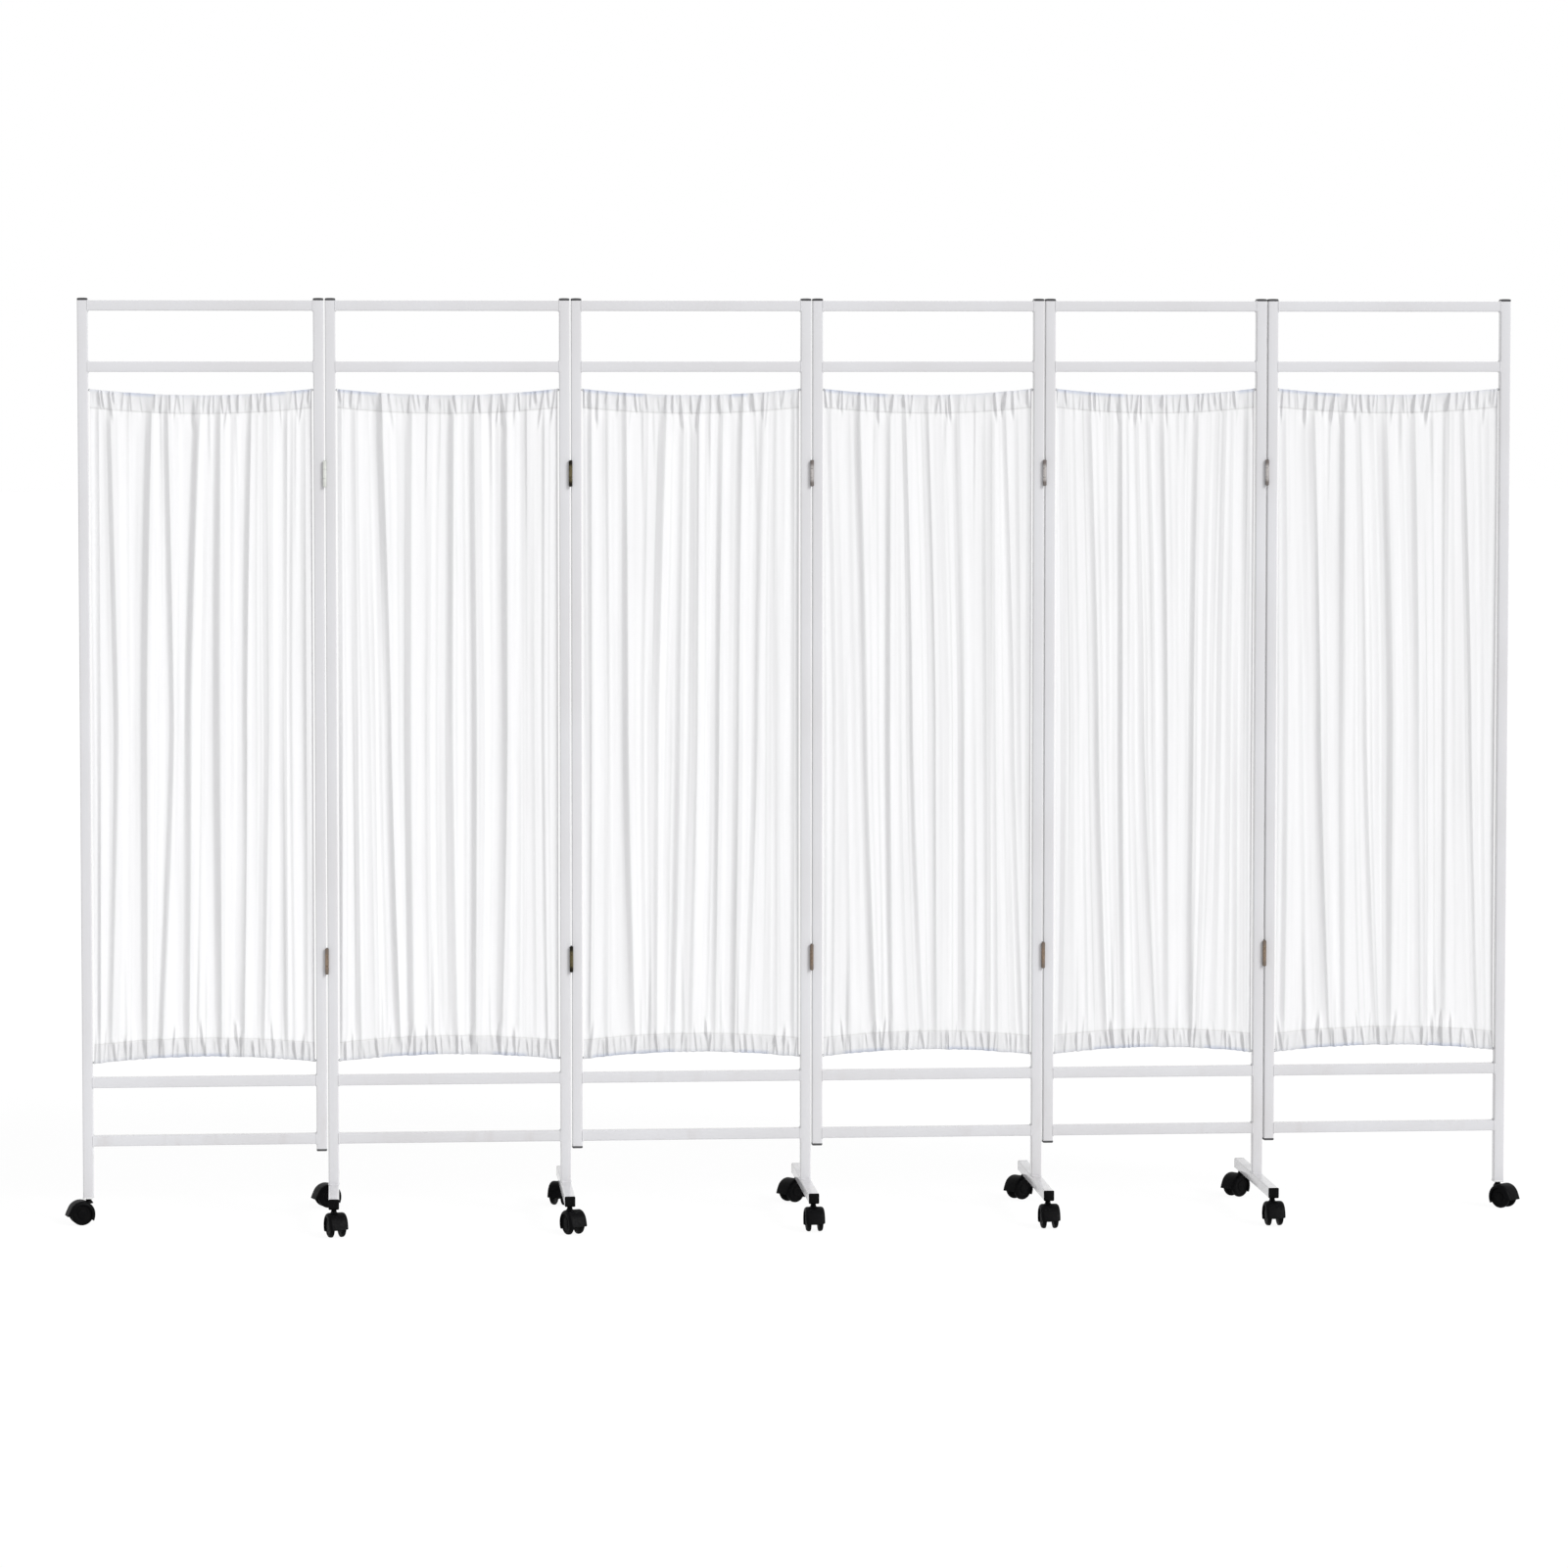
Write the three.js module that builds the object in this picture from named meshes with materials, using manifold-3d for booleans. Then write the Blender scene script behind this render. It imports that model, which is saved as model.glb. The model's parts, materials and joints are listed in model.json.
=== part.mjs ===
// Ward privacy screen on wheels: six curtained panels of square tube, hinged edge to edge,
// standing on cross feet and twin-wheel casters. Millimetres, +Z up, seen from the front along +Y.
import * as THREE from "three";
import { mergeVertices } from "three/addons/utils/BufferGeometryUtils.js";
import Module from "manifold-3d";

const wasm = await Module();
wasm.setup();

// Overall sizes
const overallHeight = 1800; // floor to the top of the caps on the posts
const capHeight = 5; // plastic cap on each post end, left open here
const panel1Width = 473; // outer face to outer face of each panel, left to right
const panel2Width = 473;
const panel3Width = 468;
const panel4Width = 454;
const panel5Width = 437;
const panel6Width = 482;

// Square tube of the frames
const tubeSize = 20;
const tubeWall = 1.2;
const upperRailPitch = 118; // top rail to second rail, centre to centre
const lowerRailPitch = 114; // third rail to bottom rail
const bottomRailHeight = 164; // floor to the centre of the bottom rail
const shortPostHeight = 144; // floor to the cut end of a post without a foot

// Cross feet under the leg posts
const footBarLength = 380;
const footCasterSpacing = 350;
const endPlateThickness = 3; // closes the foot of an end post round the caster's stem

// Hinges between the panels
const hingeLength = 50;
const knuckleDiameter = 7;
const pinDiameter = 3;
const leafThickness = 1;
const leafDepth = 16; // how far a leaf reaches back between the posts
const middleKnuckleShare = 0.36; // of the hinge's length
const upperHingeDrop = 207; // second rail down to the middle of the upper hinge
const lowerHingeRise = 234; // third rail up to the middle of the lower hinge

// Twin-wheel casters
const wheelDiameter = 46;
const casterWidth = 38;
const casterTrail = 15; // swivel axis to axle, seen from above
const hoodThickness = 1.3;
const hoodShoulder = 5; // bevel along the hood's two edges
const webThickness = 12; // middle wall of the hood, between the wheels
const axleDiameter = 6;
const axleBossRadius = 8;
const neckHeight = 5.7; // hood to the underside of the tube
const collarDiameter = 10;
const stemDiameter = 8;
const hoodStart = THREE.MathUtils.degToRad(-8); // the hood's rear tip, counted from the trailing side
const hoodEnd = THREE.MathUtils.degToRad(212); // its front lip

// Curtains
const clothThickness = 1.6;
const curtainTopGap = 33; // second rail down to the curtain's upper corners
const curtainBottomGap = 27; // third rail up to its lower corners
const curtainSideGap = 3; // cloth to post
const curtainTopSag = 12; // the stretched wire gives way in the middle
const curtainBottomRise = 12;
const gatherHeight = 110; // the folds open out to their full depth over this height
const foldDepth = 8.4; // middle of the cloth to the crest of a fold
const hemFoldDepth = 3.2;
const foldCount = 12;
const foldWanderShare = 0.024; // uneven spacing of the folds, of the curtain's width
const foldWanderWaves = 1.5;
const foldSwellShare = 0.19; // how much shallower the flattest fold is
const foldSwellWaves = 2.5;
const wireDiameter = 2.6;
const wireDrop = 14; // edge of the cloth to the wire in its hem
const wireBite = 3; // how far the modelled wire end reaches into the cloth

// Clearances
const runningGap = 0.3; // between pieces that turn or rest beside each other
const wheelGap = 1; // round the wheels inside the hood
const stemTopGap = 2; // above the stem inside a foot bar
const overrun = 2; // how far a cutting tool passes through what it cuts

// Facets on round pieces
const wheelFacets = 12;
const hoodFacets = 7;
const bossFacets = 3;
const roundFacets = 8;
const wireFacets = 6;
const stepsPerFold = 4;

// Sizes that follow from those above
const halfTube = tubeSize / 2;
const boreSize = tubeSize - 2 * tubeWall;
const postTop = overallHeight - capHeight;
const topRailHeight = postTop - halfTube;
const secondRailHeight = topRailHeight - upperRailPitch;
const thirdRailHeight = bottomRailHeight + lowerRailPitch;
const wheelRadius = wheelDiameter / 2;
const hoodRadius = wheelRadius + wheelGap + hoodThickness;
const mountHeight = wheelRadius + hoodRadius + neckHeight;
const seamGap = 2 * leafThickness + 3 * runningGap;
const hingeAxisY = -halfTube - knuckleDiameter / 2 - runningGap;

// Each panel's posts: what stands under the left and the right one
const panels = [
  { width: panel1Width, left: "caster", right: "short" },
  { width: panel2Width, left: "foot", right: "foot" },
  { width: panel3Width, left: "short", right: "foot" },
  { width: panel4Width, left: "short", right: "foot" },
  { width: panel5Width, left: "short", right: "foot" },
  { width: panel6Width, left: "short", right: "caster" },
];

// Way each caster's wheels trail at rest, in degrees from +X
const trailAngles = {
  left_end: 195,
  seam_1_front: -75,
  seam_1_rear: 200,
  seam_2_front: -67,
  seam_2_rear: -110,
  seam_3_front: -88,
  seam_3_rear: 218,
  seam_4_front: -88,
  seam_4_rear: 218,
  seam_5_front: -88,
  seam_5_rear: 218,
  right_end: -50,
};

// Finishes
const frameFinish = { color: 0xdfe1e4, roughness: 0.35, metalness: 0.1 };
const clothFinish = { color: 0xf4f4f2, roughness: 0.9, metalness: 0 };
const hingeFinish = { color: 0x8a7350, roughness: 0.4, metalness: 0.8 };
const hoodFinish = { color: 0x16161a, roughness: 0.45, metalness: 0 };
const wheelFinish = { color: 0x1d1d20, roughness: 0.6, metalness: 0 };

function solidOf(geometry) {
  const bare = geometry.clone();
  bare.deleteAttribute("normal");
  bare.deleteAttribute("uv");
  const merged = mergeVertices(bare);
  const vertProperties = new Float32Array(merged.attributes.position.array);
  const triVerts = new Uint32Array(merged.index.array);
  return new wasm.Manifold(new wasm.Mesh({ numProp: 3, vertProperties, triVerts }));
}

function geometryOf(solid) {
  const mesh = solid.getMesh();
  const geometry = new THREE.BufferGeometry();
  geometry.setAttribute("position", new THREE.BufferAttribute(new Float32Array(mesh.vertProperties), 3));
  geometry.setIndex(new THREE.BufferAttribute(new Uint32Array(mesh.triVerts), 1));
  geometry.computeVertexNormals();
  return geometry;
}

function meshOf(name, geometry, finish) {
  const mesh = new THREE.Mesh(geometry, new THREE.MeshStandardMaterial(finish));
  mesh.name = name;
  return mesh;
}

// A box between two corners
function block([x0, y0, z0], [x1, y1, z1]) {
  const geometry = new THREE.BoxGeometry(x1 - x0, y1 - y0, z1 - z0);
  geometry.translate((x0 + x1) / 2, (y0 + y1) / 2, (z0 + z1) / 2);
  return solidOf(geometry);
}

// An upright rod from low to high round the point (x, y)
function uprightRod(x, y, radius, low, high) {
  const geometry = new THREE.CylinderGeometry(radius, radius, high - low, roundFacets);
  geometry.rotateX(Math.PI / 2);
  geometry.translate(x, y, (low + high) / 2);
  return solidOf(geometry);
}

// A flat outline in x and z, made thick in y by the same amount to both sides
function slab(points, thickness) {
  const shape = new THREE.Shape(points.map(([x, z]) => new THREE.Vector2(x, z)));
  const geometry = new THREE.ExtrudeGeometry(shape, { depth: thickness, bevelEnabled: false });
  geometry.rotateX(Math.PI / 2);
  geometry.translate(0, thickness / 2, 0);
  return solidOf(geometry);
}

// Welded frame of one panel
function postSpan(stand) {
  if (stand === "short") return [shortPostHeight, postTop];
  if (stand === "foot") return [mountHeight + tubeSize, postTop];
  return [mountHeight, postTop];
}

function postBoreLow(stand, low) {
  if (stand === "short") return low - overrun;
  if (stand === "foot") return low;
  return low + endPlateThickness;
}

function frameSolid({ width, left, right }) {
  const railHeights = [bottomRailHeight, thirdRailHeight, secondRailHeight, topRailHeight];
  const halfBore = boreSize / 2;
  const shells = [];
  const bores = [];
  for (const [x, stand] of [[halfTube, left], [width - halfTube, right]]) {
    const [low, high] = postSpan(stand);
    shells.push(block([x - halfTube, -halfTube, low], [x + halfTube, halfTube, high]));
    bores.push(block(
      [x - halfBore, -halfBore, postBoreLow(stand, low)],
      [x + halfBore, halfBore, high + overrun],
    ));
    if (stand === "foot") addFoot(x, shells, bores);
    if (stand === "caster") bores.push(stemHole(x, 0));
  }
  for (const z of railHeights) {
    shells.push(block([halfTube, -halfTube, z - halfTube], [width - halfTube, halfTube, z + halfTube]));
    bores.push(block([halfTube, -halfBore, z - halfBore], [width - halfTube, halfBore, z + halfBore]));
  }
  return wasm.Manifold.union(shells).subtract(wasm.Manifold.union(bores));
}

// Cross foot: a tube from front to back with a stem hole near each end
function addFoot(x, shells, bores) {
  const halfBore = boreSize / 2;
  const halfBar = footBarLength / 2;
  const low = mountHeight;
  const high = mountHeight + tubeSize;
  shells.push(block([x - halfTube, -halfBar, low], [x + halfTube, halfBar, high]));
  bores.push(block(
    [x - halfBore, -halfBar - overrun, low + tubeWall],
    [x + halfBore, halfBar + overrun, high - tubeWall],
  ));
  for (const side of [-1, 1]) bores.push(stemHole(x, side * footCasterSpacing / 2));
}

function stemHole(x, y) {
  const radius = (stemDiameter / 2 + runningGap) / Math.cos(Math.PI / roundFacets);
  return uprightRod(x, y, radius, mountHeight - overrun, mountHeight + endPlateThickness + overrun);
}

// Gathered curtain of one panel: a folded sheet between the ends of its two wires
function curtainSolid(width, phase) {
  const low = thirdRailHeight + halfTube + curtainBottomGap;
  const high = secondRailHeight - halfTube - curtainTopGap;
  const x0 = tubeSize + curtainSideGap;
  const clothWidth = width - 2 * x0;
  const columns = foldCount * stepsPerFold + 2; // with a flat side hem at each end
  const rows = [
    { base: low, bow: curtainBottomRise, depth: hemFoldDepth },
    { base: low + gatherHeight, bow: curtainBottomRise, depth: foldDepth },
    { base: high - gatherHeight, bow: -curtainTopSag, depth: foldDepth },
    { base: high, bow: -curtainTopSag, depth: hemFoldDepth },
  ];
  const points = [];
  for (const side of [-1, 1]) {
    for (const row of rows) {
      for (let i = 0; i <= columns; i += 1) {
        const u = i / columns;
        const turn = 2 * Math.PI * u;
        const wander = foldWanderShare * Math.sin(foldWanderWaves * turn + phase) * Math.sin(turn / 2);
        const x = x0 + clothWidth * (u + wander);
        const swell = 1 - foldSwellShare * Math.cos(foldSwellWaves * turn + phase) ** 2;
        const step = THREE.MathUtils.clamp(i - 1, 0, columns - 2);
        const fold = Math.sin(2 * Math.PI * step / stepsPerFold);
        const y = row.depth * swell * fold + side * clothThickness / 2;
        const z = row.base + row.bow * (1 - (2 * u - 1) ** 2);
        points.push(x, y, z);
      }
    }
  }
  const sheet = solidOf(sheetGeometry(points, rows.length, columns + 1));
  const wires = [];
  for (const z of [low + wireDrop, high - wireDrop]) {
    wires.push(wireEnd(tubeSize + runningGap, x0 + wireBite, z));
    wires.push(wireEnd(width - x0 - wireBite, width - tubeSize - runningGap, z));
  }
  return wasm.Manifold.union([sheet, ...wires]);
}

function wireEnd(from, to, z) {
  const radius = wireDiameter / 2;
  const geometry = new THREE.CylinderGeometry(radius, radius, to - from, wireFacets);
  geometry.rotateZ(Math.PI / 2);
  geometry.translate((from + to) / 2, 0, z);
  return solidOf(geometry);
}

// Closed skin round a grid of points given twice, for the front and for the back
function sheetGeometry(points, rowCount, columnCount) {
  const at = (side, row, column) => (side * rowCount + row) * columnCount + column;
  const index = [];
  const quad = (a, b, c, d) => index.push(a, b, c, a, c, d);
  const lastRow = rowCount - 1;
  const lastColumn = columnCount - 1;
  for (let row = 0; row < lastRow; row += 1) {
    for (let column = 0; column < lastColumn; column += 1) {
      quad(at(0, row, column), at(0, row, column + 1), at(0, row + 1, column + 1), at(0, row + 1, column));
      quad(at(1, row, column), at(1, row + 1, column), at(1, row + 1, column + 1), at(1, row, column + 1));
    }
    quad(at(1, row, 0), at(0, row, 0), at(0, row + 1, 0), at(1, row + 1, 0));
    quad(
      at(0, row, lastColumn),
      at(1, row, lastColumn),
      at(1, row + 1, lastColumn),
      at(0, row + 1, lastColumn),
    );
  }
  for (let column = 0; column < lastColumn; column += 1) {
    quad(at(1, 0, column), at(1, 0, column + 1), at(0, 0, column + 1), at(0, 0, column));
    quad(
      at(0, lastRow, column),
      at(0, lastRow, column + 1),
      at(1, lastRow, column + 1),
      at(1, lastRow, column),
    );
  }
  const geometry = new THREE.BufferGeometry();
  geometry.setAttribute("position", new THREE.Float32BufferAttribute(points, 3));
  geometry.setIndex(index);
  return geometry;
}

// Hinge leaf: side is -1 for the left leaf, which holds the pin and the outer knuckles,
// and 1 for the right leaf, which holds the middle knuckle. Its own middle is at height zero.
function leafSolid(side) {
  const half = hingeLength / 2;
  const middleHalf = hingeLength * middleKnuckleShare / 2;
  const outerRadius = knuckleDiameter / 2;
  const plateFace = side * (runningGap / 2);
  const plateBack = side * (runningGap / 2 + leafThickness);
  const plateX = [Math.min(plateFace, plateBack), Math.max(plateFace, plateBack)];
  const reach = hingeAxisY + outerRadius + leafDepth;
  const clearY = hingeAxisY + outerRadius + runningGap;
  const plate = block([plateX[0], clearY, -half], [plateX[1], reach, half]);
  const spans = side < 0
    ? [[-half, -middleHalf - runningGap / 2], [middleHalf + runningGap / 2, half]]
    : [[-middleHalf + runningGap / 2, middleHalf - runningGap / 2]];
  const pieces = [plate];
  for (const [low, high] of spans) {
    pieces.push(uprightRod(0, hingeAxisY, outerRadius, low, high));
    pieces.push(block([plateX[0], hingeAxisY, low], [plateX[1], reach, high]));
  }
  if (side < 0) {
    const pinHalf = middleHalf + pinDiameter;
    pieces.push(uprightRod(0, hingeAxisY, pinDiameter / 2, -pinHalf, pinHalf));
    return wasm.Manifold.union(pieces);
  }
  const boreRadius = (pinDiameter / 2 + runningGap) / Math.cos(Math.PI / roundFacets);
  return wasm.Manifold.union(pieces).subtract(uprightRod(0, hingeAxisY, boreRadius, -half, half));
}

// Point at an angle on a circle round the caster's axle, in x and z
function roundAxle(radius, angle) {
  return [casterTrail + radius * Math.cos(angle), wheelRadius + radius * Math.sin(angle)];
}

function anglesFrom(start, end, steps) {
  return Array.from({ length: steps + 1 }, (_, i) => start + (end - start) * i / steps);
}

// Bevelled cover over both wheels: a section in y and radius, swept round the axle
function hoodCover() {
  const w = casterWidth / 2;
  const inner = hoodRadius - hoodThickness;
  const cornerIn = hoodThickness * (Math.SQRT2 - 1);
  const section = [
    [-w, hoodRadius - hoodShoulder],
    [hoodShoulder - w, hoodRadius],
    [w - hoodShoulder, hoodRadius],
    [w, hoodRadius - hoodShoulder],
    [w - hoodThickness * Math.SQRT2, hoodRadius - hoodShoulder],
    [w - hoodShoulder - cornerIn, inner],
    [hoodShoulder + cornerIn - w, inner],
    [hoodThickness * Math.SQRT2 - w, hoodRadius - hoodShoulder],
  ];
  const angles = anglesFrom(hoodStart, hoodEnd, hoodFacets);
  const points = [];
  for (const angle of angles) {
    for (const [y, radius] of section) {
      const [x, z] = roundAxle(radius, angle);
      points.push(x, y, z);
    }
  }
  const count = section.length;
  const index = [];
  for (let ring = 0; ring < hoodFacets; ring += 1) {
    for (let i = 0; i < count; i += 1) {
      const a = ring * count + i;
      const b = ring * count + (i + 1) % count;
      index.push(a, b, a + count, b, b + count, a + count);
    }
  }
  const ends = THREE.ShapeUtils.triangulateShape(section.map(([y, r]) => new THREE.Vector2(y, r)), []);
  const last = hoodFacets * count;
  for (const [a, b, c] of ends) {
    index.push(a, b, c);
    index.push(last + c, last + b, last + a);
  }
  const geometry = new THREE.BufferGeometry();
  geometry.setAttribute("position", new THREE.Float32BufferAttribute(points, 3));
  geometry.setIndex(index);
  return solidOf(geometry);
}

// Hood with its middle wall, collar and stem; the swivel axis is the z axis
function hoodSolid() {
  const webRadius = hoodRadius - hoodThickness / 2;
  const webOutline = [
    ...anglesFrom(hoodStart, hoodEnd, hoodFacets).map((angle) => roundAxle(webRadius, angle)),
    ...anglesFrom(hoodEnd, hoodStart + 2 * Math.PI, bossFacets)
      .map((angle) => roundAxle(axleBossRadius, angle)),
  ];
  const web = slab(webOutline, webThickness);
  const collarLow = wheelRadius + casterTrail;
  const collar = uprightRod(0, 0, collarDiameter / 2, collarLow, mountHeight - runningGap);
  const stem = uprightRod(0, 0, stemDiameter / 2, collarLow, mountHeight + tubeSize - tubeWall - stemTopGap);
  const [axleX, axleZ] = roundAxle(0, 0);
  const holeRadius = (axleDiameter / 2 + runningGap) / Math.cos(Math.PI / roundFacets);
  const hole = new THREE.CylinderGeometry(holeRadius, holeRadius, webThickness + 2 * overrun, roundFacets);
  hole.translate(axleX, 0, axleZ);
  return wasm.Manifold.union([hoodCover(), web, collar, stem]).subtract(solidOf(hole));
}

// Both wheels on their axle, turned round the axle, which lies along y
function wheelsGeometry() {
  const w = casterWidth / 2;
  const slope = Math.SQRT2 * (hoodThickness + wheelGap);
  const face = w - Math.SQRT2 * hoodThickness - wheelGap;
  const bevel = w + hoodRadius - hoodShoulder - slope;
  const innerFace = webThickness / 2 + wheelGap;
  const half = [
    [0, face],
    [bevel - face, face],
    [wheelRadius, bevel - wheelRadius],
    [wheelRadius, innerFace],
    [axleDiameter / 2, innerFace],
  ];
  const profile = [
    ...half.map(([radius, y]) => new THREE.Vector2(radius, -y)),
    ...half.reverse().map(([radius, y]) => new THREE.Vector2(radius, y)),
  ];
  const turned = new THREE.LatheGeometry(profile, wheelFacets);
  turned.rotateY(Math.PI / wheelFacets);
  return geometryOf(solidOf(turned));
}

// One caster with its swivel axis at (x, y), trailing towards the given angle
function casterGroup(place, x, y) {
  const caster = new THREE.Group();
  caster.position.set(x, y, 0);
  caster.rotation.z = THREE.MathUtils.degToRad(trailAngles[place]);
  caster.add(meshOf(`caster_${place}_hood`, geometryOf(hoodSolid()), hoodFinish));
  const wheels = meshOf(`caster_${place}_wheels`, wheelsGeometry(), wheelFinish);
  wheels.position.set(casterTrail, 0, wheelRadius);
  caster.add(wheels);
  return caster;
}

function postCasters(stand, seam, x) {
  const place = seam === 0 ? "left_end" : seam === panels.length ? "right_end" : `seam_${seam}`;
  if (stand === "caster") return [casterGroup(place, x, 0)];
  if (stand === "short") return [];
  return [
    casterGroup(`${place}_front`, x, -footCasterSpacing / 2),
    casterGroup(`${place}_rear`, x, footCasterSpacing / 2),
  ];
}

function panelGroup(number, panel, x) {
  const group = new THREE.Group();
  group.position.x = x;
  group.add(meshOf(`panel_${number}_frame`, geometryOf(frameSolid(panel)), frameFinish));
  group.add(meshOf(`panel_${number}_curtain`, geometryOf(curtainSolid(panel.width, number)), clothFinish));
  const casters = [
    ...postCasters(panel.left, number - 1, halfTube),
    ...postCasters(panel.right, number, panel.width - halfTube),
  ];
  for (const caster of casters) group.add(caster);
  return group;
}

function hingeGroup(name, x, z) {
  const group = new THREE.Group();
  group.position.set(x, 0, z);
  group.add(meshOf(`${name}_left_leaf`, geometryOf(leafSolid(-1)), hingeFinish));
  group.add(meshOf(`${name}_right_leaf`, geometryOf(leafSolid(1)), hingeFinish));
  return group;
}

function buildScreen() {
  const screen = new THREE.Group();
  let x = 0;
  panels.forEach((panel, i) => {
    screen.add(panelGroup(i + 1, panel, x));
    x += panel.width + seamGap;
    if (i === panels.length - 1) return;
    const seamX = x - seamGap / 2;
    screen.add(hingeGroup(`seam_${i + 1}_upper_hinge`, seamX, secondRailHeight - upperHingeDrop));
    screen.add(hingeGroup(`seam_${i + 1}_lower_hinge`, seamX, thirdRailHeight + lowerHingeRise));
  });
  // The origin lies on the floor under the middle of the whole screen
  const bounds = new THREE.Box3().setFromObject(screen);
  const middle = bounds.getCenter(new THREE.Vector3());
  screen.position.set(-middle.x, -middle.y, -bounds.min.z);
  return screen;
}

export default buildScreen();
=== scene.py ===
import json
import math
import random

import bmesh
import bpy
import numpy as np
from mathutils import Matrix, Vector


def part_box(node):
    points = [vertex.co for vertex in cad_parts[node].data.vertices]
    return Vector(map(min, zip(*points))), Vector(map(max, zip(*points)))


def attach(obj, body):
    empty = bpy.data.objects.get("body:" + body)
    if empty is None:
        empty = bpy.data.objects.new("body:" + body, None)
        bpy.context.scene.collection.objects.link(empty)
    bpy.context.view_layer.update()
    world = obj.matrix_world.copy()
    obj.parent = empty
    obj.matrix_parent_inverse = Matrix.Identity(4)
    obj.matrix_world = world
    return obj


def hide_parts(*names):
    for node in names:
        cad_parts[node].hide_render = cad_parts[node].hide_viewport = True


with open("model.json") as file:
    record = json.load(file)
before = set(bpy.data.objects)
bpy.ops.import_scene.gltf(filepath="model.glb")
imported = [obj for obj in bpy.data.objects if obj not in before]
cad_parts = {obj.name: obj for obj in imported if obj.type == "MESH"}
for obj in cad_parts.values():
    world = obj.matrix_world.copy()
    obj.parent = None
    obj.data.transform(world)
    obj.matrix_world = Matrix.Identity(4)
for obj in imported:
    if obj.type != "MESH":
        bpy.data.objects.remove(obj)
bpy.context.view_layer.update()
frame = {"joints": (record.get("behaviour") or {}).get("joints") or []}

# Everything is in metres. The screen stands along x, its front looks towards -y.

# Square tube and the heights of the rails, as the frames were cut
tube = {
    "side": 0.020,
    "wall": 0.0012,
    "corner": 0.0022,  # outer radius of the tube's long edges
    "postTop": 1.795,
    "upperRailPitch": 0.118,
    "lowerRailPitch": 0.114,
    "bottomRail": 0.164,  # floor to the middle of the lowest rail
    "shortPost": 0.144,
    "footTop": 0.074,
    "footLow": 0.054,
    "footLength": 0.380,
    "cornerSteps": 5,
}
frameLow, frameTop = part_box("panel_1_frame")
floorLift = frameTop.z - tube["postTop"]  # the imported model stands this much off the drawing
postPlane = (frameLow.y + frameTop.y) / 2

# What stands under the left and the right post of each panel
panels = {
    1: {"left": "caster", "right": "short"},
    2: {"left": "foot", "right": "foot"},
    3: {"left": "short", "right": "foot"},
    4: {"left": "short", "right": "foot"},
    5: {"left": "short", "right": "foot"},
    6: {"left": "short", "right": "caster"},
}


def height(drawn):
    return drawn + floorLift


def tone(red, green, blue):  # screen colour, 0 to 255, to the linear one that shaders take
    def linear(value):
        share = value / 255
        return share / 12.92 if share <= 0.04045 else ((share + 0.055) / 1.055) ** 2.4
    return (linear(red), linear(green), linear(blue), 1.0)


# Mesh helpers

def newShape():
    return {"points": [], "faces": []}


def addLoft(shape, rings, looped=False):
    # skin over rings of equally many points; looped joins the last ring to the first
    base, count = len(shape["points"]), len(rings[0])
    for ring in rings:
        shape["points"].extend(tuple(point) for point in ring)
    spans = len(rings) if looped else len(rings) - 1
    for i in range(spans):
        a = base + i * count
        b = base + (i + 1) % len(rings) * count
        for j in range(count):
            k = (j + 1) % count
            shape["faces"].append((a + j, a + k, b + k, b + j))
    if not looped:
        shape["faces"].append([base + j for j in range(count)])
        shape["faces"].append([base + (len(rings) - 1) * count + j for j in range(count)])


def squareOutline(half, corner, steps=tube["cornerSteps"]):
    # flat square with round corners, round its own middle
    points = []
    for quarter in range(4):
        turn = quarter * math.pi / 2
        inner = half - corner
        middle = Vector((inner, inner)) @ Matrix.Rotation(-turn, 2)
        for i in range(steps + 1):
            angle = turn + i / steps * math.pi / 2
            points.append((middle.x + corner * math.cos(angle), middle.y + corner * math.sin(angle)))
    return points


def across(outline, axis, at, middle):
    # a flat outline set square to an axis, at a place along it, round a middle given as a 3-D point
    one, two = [i for i in range(3) if i != axis]
    ring = []
    for a, b in outline:
        point = [0.0, 0.0, 0.0]
        point[axis] = at
        point[one] = middle[one] + a
        point[two] = middle[two] + b
        ring.append(point)
    return ring


def addTube(shape, axis, start, end, middle):
    outer = squareOutline(tube["side"] / 2, tube["corner"])
    inner = squareOutline(tube["side"] / 2 - tube["wall"], tube["corner"] - tube["wall"] / 2)
    rings = [across(outer, axis, start, middle), across(outer, axis, end, middle)]
    rings += [across(inner, axis, end, middle), across(inner, axis, start, middle)]
    addLoft(shape, rings, looped=True)


def addLathe(shape, profile, origin, axis, steps=32, looped=False):
    # profile points are (radius, place along the axis)
    one, two = [i for i in range(3) if i != axis]
    rings = []
    for radius, along in profile:
        ring = []
        for i in range(steps):
            angle = 2 * math.pi * i / steps
            point = list(origin)
            point[axis] += along
            point[one] += radius * math.cos(angle)
            point[two] += radius * math.sin(angle)
            ring.append(point)
        rings.append(ring)
    addLoft(shape, rings, looped)


def addSweep(shape, path, radius, steps=8, closed=False, swell=None):
    # round rod along a path; swell(share) changes its radius on the way
    points = [Vector(p) for p in path]
    count = len(points)
    side, rings = None, []
    for i, point in enumerate(points):
        before = points[i - 1] if i or closed else point
        after = points[(i + 1) % count] if i < count - 1 or closed else point
        ahead = (after - before).normalized()
        if side is None:
            side = ahead.orthogonal()
        side = (side - ahead * side.dot(ahead)).normalized()
        other = ahead.cross(side)
        size = radius * (swell(i / count) if swell else 1)
        ring = []
        for j in range(steps):
            angle = 2 * math.pi * j / steps
            ring.append(point + (side * math.cos(angle) + other * math.sin(angle)) * size)
        rings.append(ring)
    addLoft(shape, rings, looped=closed)


def movedShape(shape, matrix):
    shape["points"] = [tuple(matrix @ Vector(point)) for point in shape["points"]]
    return shape


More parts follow.
